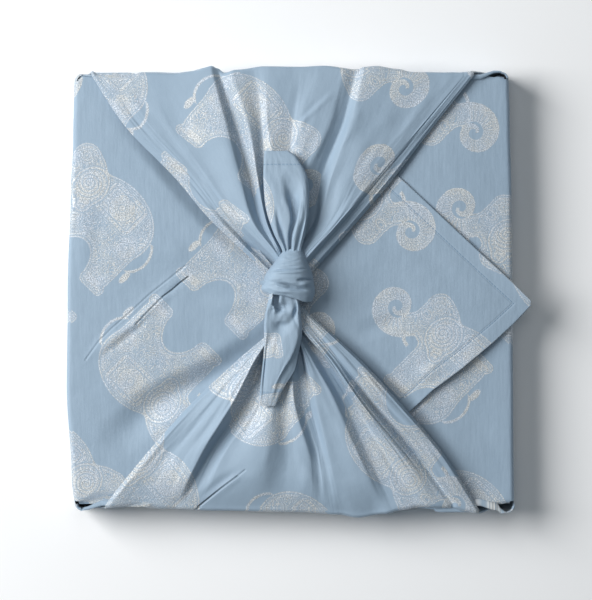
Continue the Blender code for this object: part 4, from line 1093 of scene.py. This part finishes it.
PRINT_AT = (36, 18)  # where the print's rows start, in mm
THREAD = 0.42  # from one thread to the next, in mm
STITCH_IN, STITCH_STEP = 9.3, 2.6  # how far in a hem is sewn, and from one stitch to the next, in mm
BLUES = (0.274, 0.370, 0.466, 1), (0.328, 0.425, 0.525, 1)
SILVERS = (0.52, 0.52, 0.50, 1), (0.475, 0.51, 0.555, 1)
SEWING = (0.17, 0.27, 0.39, 1)


def printed_cotton():
    """The look of the whole cloth: a blue weave with rows of block-printed elephants, and its sewn hems."""
    material = bpy.data.materials.new("printed_cotton_look")
    material.use_nodes = True
    tree = material.node_tree

    def add(kind, output, inputs, **settings):
        node = tree.nodes.new("ShaderNode" + kind)
        for name, value in settings.items():
            setattr(node, name, value)
        for slot, value in inputs.items():
            set_input(tree, node.inputs[slot], value)
        return node.outputs[output]

    def attribute(name):
        """A layer's two numbers in mm."""
        split = tree.nodes.new("ShaderNodeSeparateXYZ")
        set_input(tree, split.inputs[0], add("UVMap", "UV", {}, uv_map=name))
        return Field(tree, split.outputs[0]) / MM, Field(tree, split.outputs[1]) / MM

    def combine(x, y, z=0):
        return add("CombineXYZ", 0, {0: x, 1: y, 2: z})

    def noise_field(vector, scale, detail=2, rough=0.5):
        inputs = {"Vector": vector, "Scale": scale, "Detail": detail, "Roughness": rough}
        return Field(tree, add("TexNoise", "Fac", inputs, noise_dimensions="2D"))

    def mix(share, first, second, blend="MIX"):
        return add("Mix", 2, {0: share, 6: first, 7: second}, data_type="RGBA", blend_type=blend)

    u, v = attribute("cloth")
    hem_in, hem_along = attribute("hem")
    pull_u, pull_v = attribute("pull")
    # The print's rows run along the cloth's own edges, which lie aslant to the parcel.
    cloth = combine(u, v)
    wobble = noise_field(cloth, 0.55, 1) - 0.5
    wobble_2 = noise_field(combine(v + 31, u), 0.55, 1) - 0.5
    a = (u + v) * math.sqrt(0.5) + PRINT_AT[0] + wobble * 0.7
    b = (v - u) * math.sqrt(0.5) + PRINT_AT[1] + wobble_2 * 0.7
    column = (a / TILE[0]).floor()
    b = b + column * (TILE[1] / 2)
    row = (b / TILE[1]).floor()
    # Every second column faces the other way, and every second row is upside down.
    facing, upright = ((k * 0.5).wrapped(0, 1) * 4 - 1 for k in (column, row))
    x = (a - (column + 0.5) * TILE[0]) * facing
    y = (b - (row + 0.5) * TILE[1]) * upright
    swirl = (noise_field(combine(x, y), 0.15, 1, 0.4) * (2 * math.pi * 13)).sin()
    spots = {"Vector": combine(x, y), "Scale": 0.42, "Randomness": 0.55}
    cells = Field(tree, add("TexVoronoi", "Distance", spots, voronoi_dimensions="2D"))
    motif = elephant(x, y, swirl, cells)
    speck = noise_field(cloth, 2.6, 2, 0.7)
    worn = noise_field(cloth, 0.09)
    motif = (motif * (1 - speck.under(0.43, 0.04) * 0.75) * (0.80 + worn * 0.30)).clamped()
    # Threads.
    warp, weft = (u * (2 * math.pi / THREAD)).sin(), (v * (2 * math.pi / THREAD)).sin()
    weave = (warp * warp) * 0.5 + (weft * weft) * 0.5 + warp * weft * 0.25
    slubs = noise_field(combine(u * 0.35, v * 4), 1) + noise_field(combine(u * 4 + 77, v * 0.35), 1)
    # Colour.
    patchy = noise_field(cloth, 0.03, 3)
    shade = 0.93 + patchy * 0.10 + slubs * 0.03 - weave * 0.02
    stitch = (hem_in - STITCH_IN).line(0.28, 0.12) * hem_along.folded(STITCH_STEP).under(0.95, 0.15)
    # Painted glints: a fine noise speckles the silver print's colour darker and brighter. This is partly the
    # foil's own uneven grain and partly painted glints off the foil.
    glint = noise_field(cloth, 1.3, 2, 0.7)
    grain_and_glints = ((glint - 0.5) * 2.8 + 0.84).most(0.3).least(1.3) * 1.28
    silver = mix(((noise_field(cloth, 0.05, 3, 0.6) - 0.38) * 4).clamped(), *SILVERS)
    silver = mix(1, silver, combine(grain_and_glints, grain_and_glints, grain_and_glints), "MULTIPLY")
    blue = mix(((shade - 0.93) * 5).clamped(), *BLUES)
    colour = mix(stitch * 0.8, mix(motif, blue, silver), SEWING)
    # Crisp lines pressed into the cloth, as a depth in mm.
    pressed = None
    for ends, depth in PRESSED_FLAT:
        for start, end in zip(ends, ends[1:]):
            line = segment(u, v, start, end, 0).under(0.6, 0.6) * depth
            pressed = line if pressed is None else pressed.least(line)
    # Relief.
    rumple = noise_field(combine(pull_u * 0.35, pull_v * 0.05), 1)
    crinkle = noise_field(cloth, 0.12, 3, 0.55)
    height = weave * 0.018 + slubs * 0.03 + rumple * 0.16 + crinkle * 0.22 + pressed + stitch * 0.10
    height = height - (hem_in - STITCH_IN).line(0.9, 0.4) * 0.16 + motif * 0.02 + glint * motif * 0.03
    shader = tree.nodes["Principled BSDF"]
    for name, value in {
        "Base Color": colour,
        "Roughness": 0.58 + patchy * 0.06 - motif * (0.08 + glint * 0.12),
        "Metallic": motif * 0.15,
        "Sheen Weight": 0.22,
        "Sheen Roughness": 0.45,
        "Sheen Tint": (0.85, 0.92, 1, 1),
        "Specular IOR Level": 0.45,
        "Normal": add("Bump", "Normal", {"Strength": 1, "Distance": 1, "Height": height * MM}),
    }.items():
        set_input(tree, shader.inputs[name], value)
    return material


# -------- light, floor and camera
def area_light(name, place, size, energy):
    """A square light that faces the origin."""
    data = bpy.data.lights.new(name, "AREA")
    data.size, data.energy = size, energy
    light = placed(name, data)
    light.location = place
    light.rotation_euler = (-Vector(place)).to_track_quat("-Z", "Y").to_euler()


def studio():
    world = bpy.data.worlds.new("studio")
    bpy.context.scene.world = world
    world.use_nodes = True
    background = world.node_tree.nodes["Background"]
    background.inputs["Color"].default_value = (0.70, 0.87, 1, 1)
    background.inputs["Strength"].default_value = 0.13
    area_light("key", (-1.35, 0.45, 1.25), 1.2, 47)
    area_light("overhead", (0.1, 0.3, 1.9), 1, 5)
    mesh = bpy.data.meshes.new("floor")
    mesh.from_pydata([(-4, -4, 0), (4, -4, 0), (4, 4, 0), (-4, 4, 0)], [], [(0, 1, 2, 3)])
    floor = placed("floor", mesh)
    floor.location.z = -0.0003
    material = bpy.data.materials.new("studio_floor")
    material.use_nodes = True
    shader = material.node_tree.nodes["Principled BSDF"]
    shader.inputs["Base Color"].default_value = (0.9, 0.9, 0.9, 1)
    shader.inputs["Roughness"].default_value = 0.8
    mesh.materials.append(material)


VIEW_SIDE = 600  # the view's longer side, in steps of the plan
VIEW_MIDDLE = (296, 300)
VIEW_FROM = 1.8  # metres above the parcel's top edge
TOP_Z = 0.033


def camera():
    data = bpy.data.cameras.new("camera")
    data.sensor_width = 36
    data.lens = data.sensor_width * VIEW_FROM / (VIEW_SIDE * PLAN)
    data.clip_start, data.clip_end = 0.1, 20
    cam = placed("camera", data)
    x, y = plan(*VIEW_MIDDLE)
    cam.location = (float(x), float(y), VIEW_FROM + TOP_Z)
    bpy.context.scene.camera = cam


camera()
studio()
bpy.context.scene.view_settings.view_transform = "Standard"
press(PRESSED_WEST, lambda x, y: (-UP_WALL - x, y))
cloth = wrapped_cloth()
look = printed_cotton()
knot = band()
north_tail = tail("tail_north", NORTH_TAIL_ROWS, NORTH_TAIL_LEVEL, NORTH_TAIL, True)
south_tail = tail("tail_south", SOUTH_TAIL_ROWS, SOUTH_TAIL_LEVEL, SOUTH_TAIL, False)
for piece in (cloth, knot, north_tail, south_tail):
    piece.data.materials.append(look)
    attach(piece, "root")
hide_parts("furoshiki_cloth")
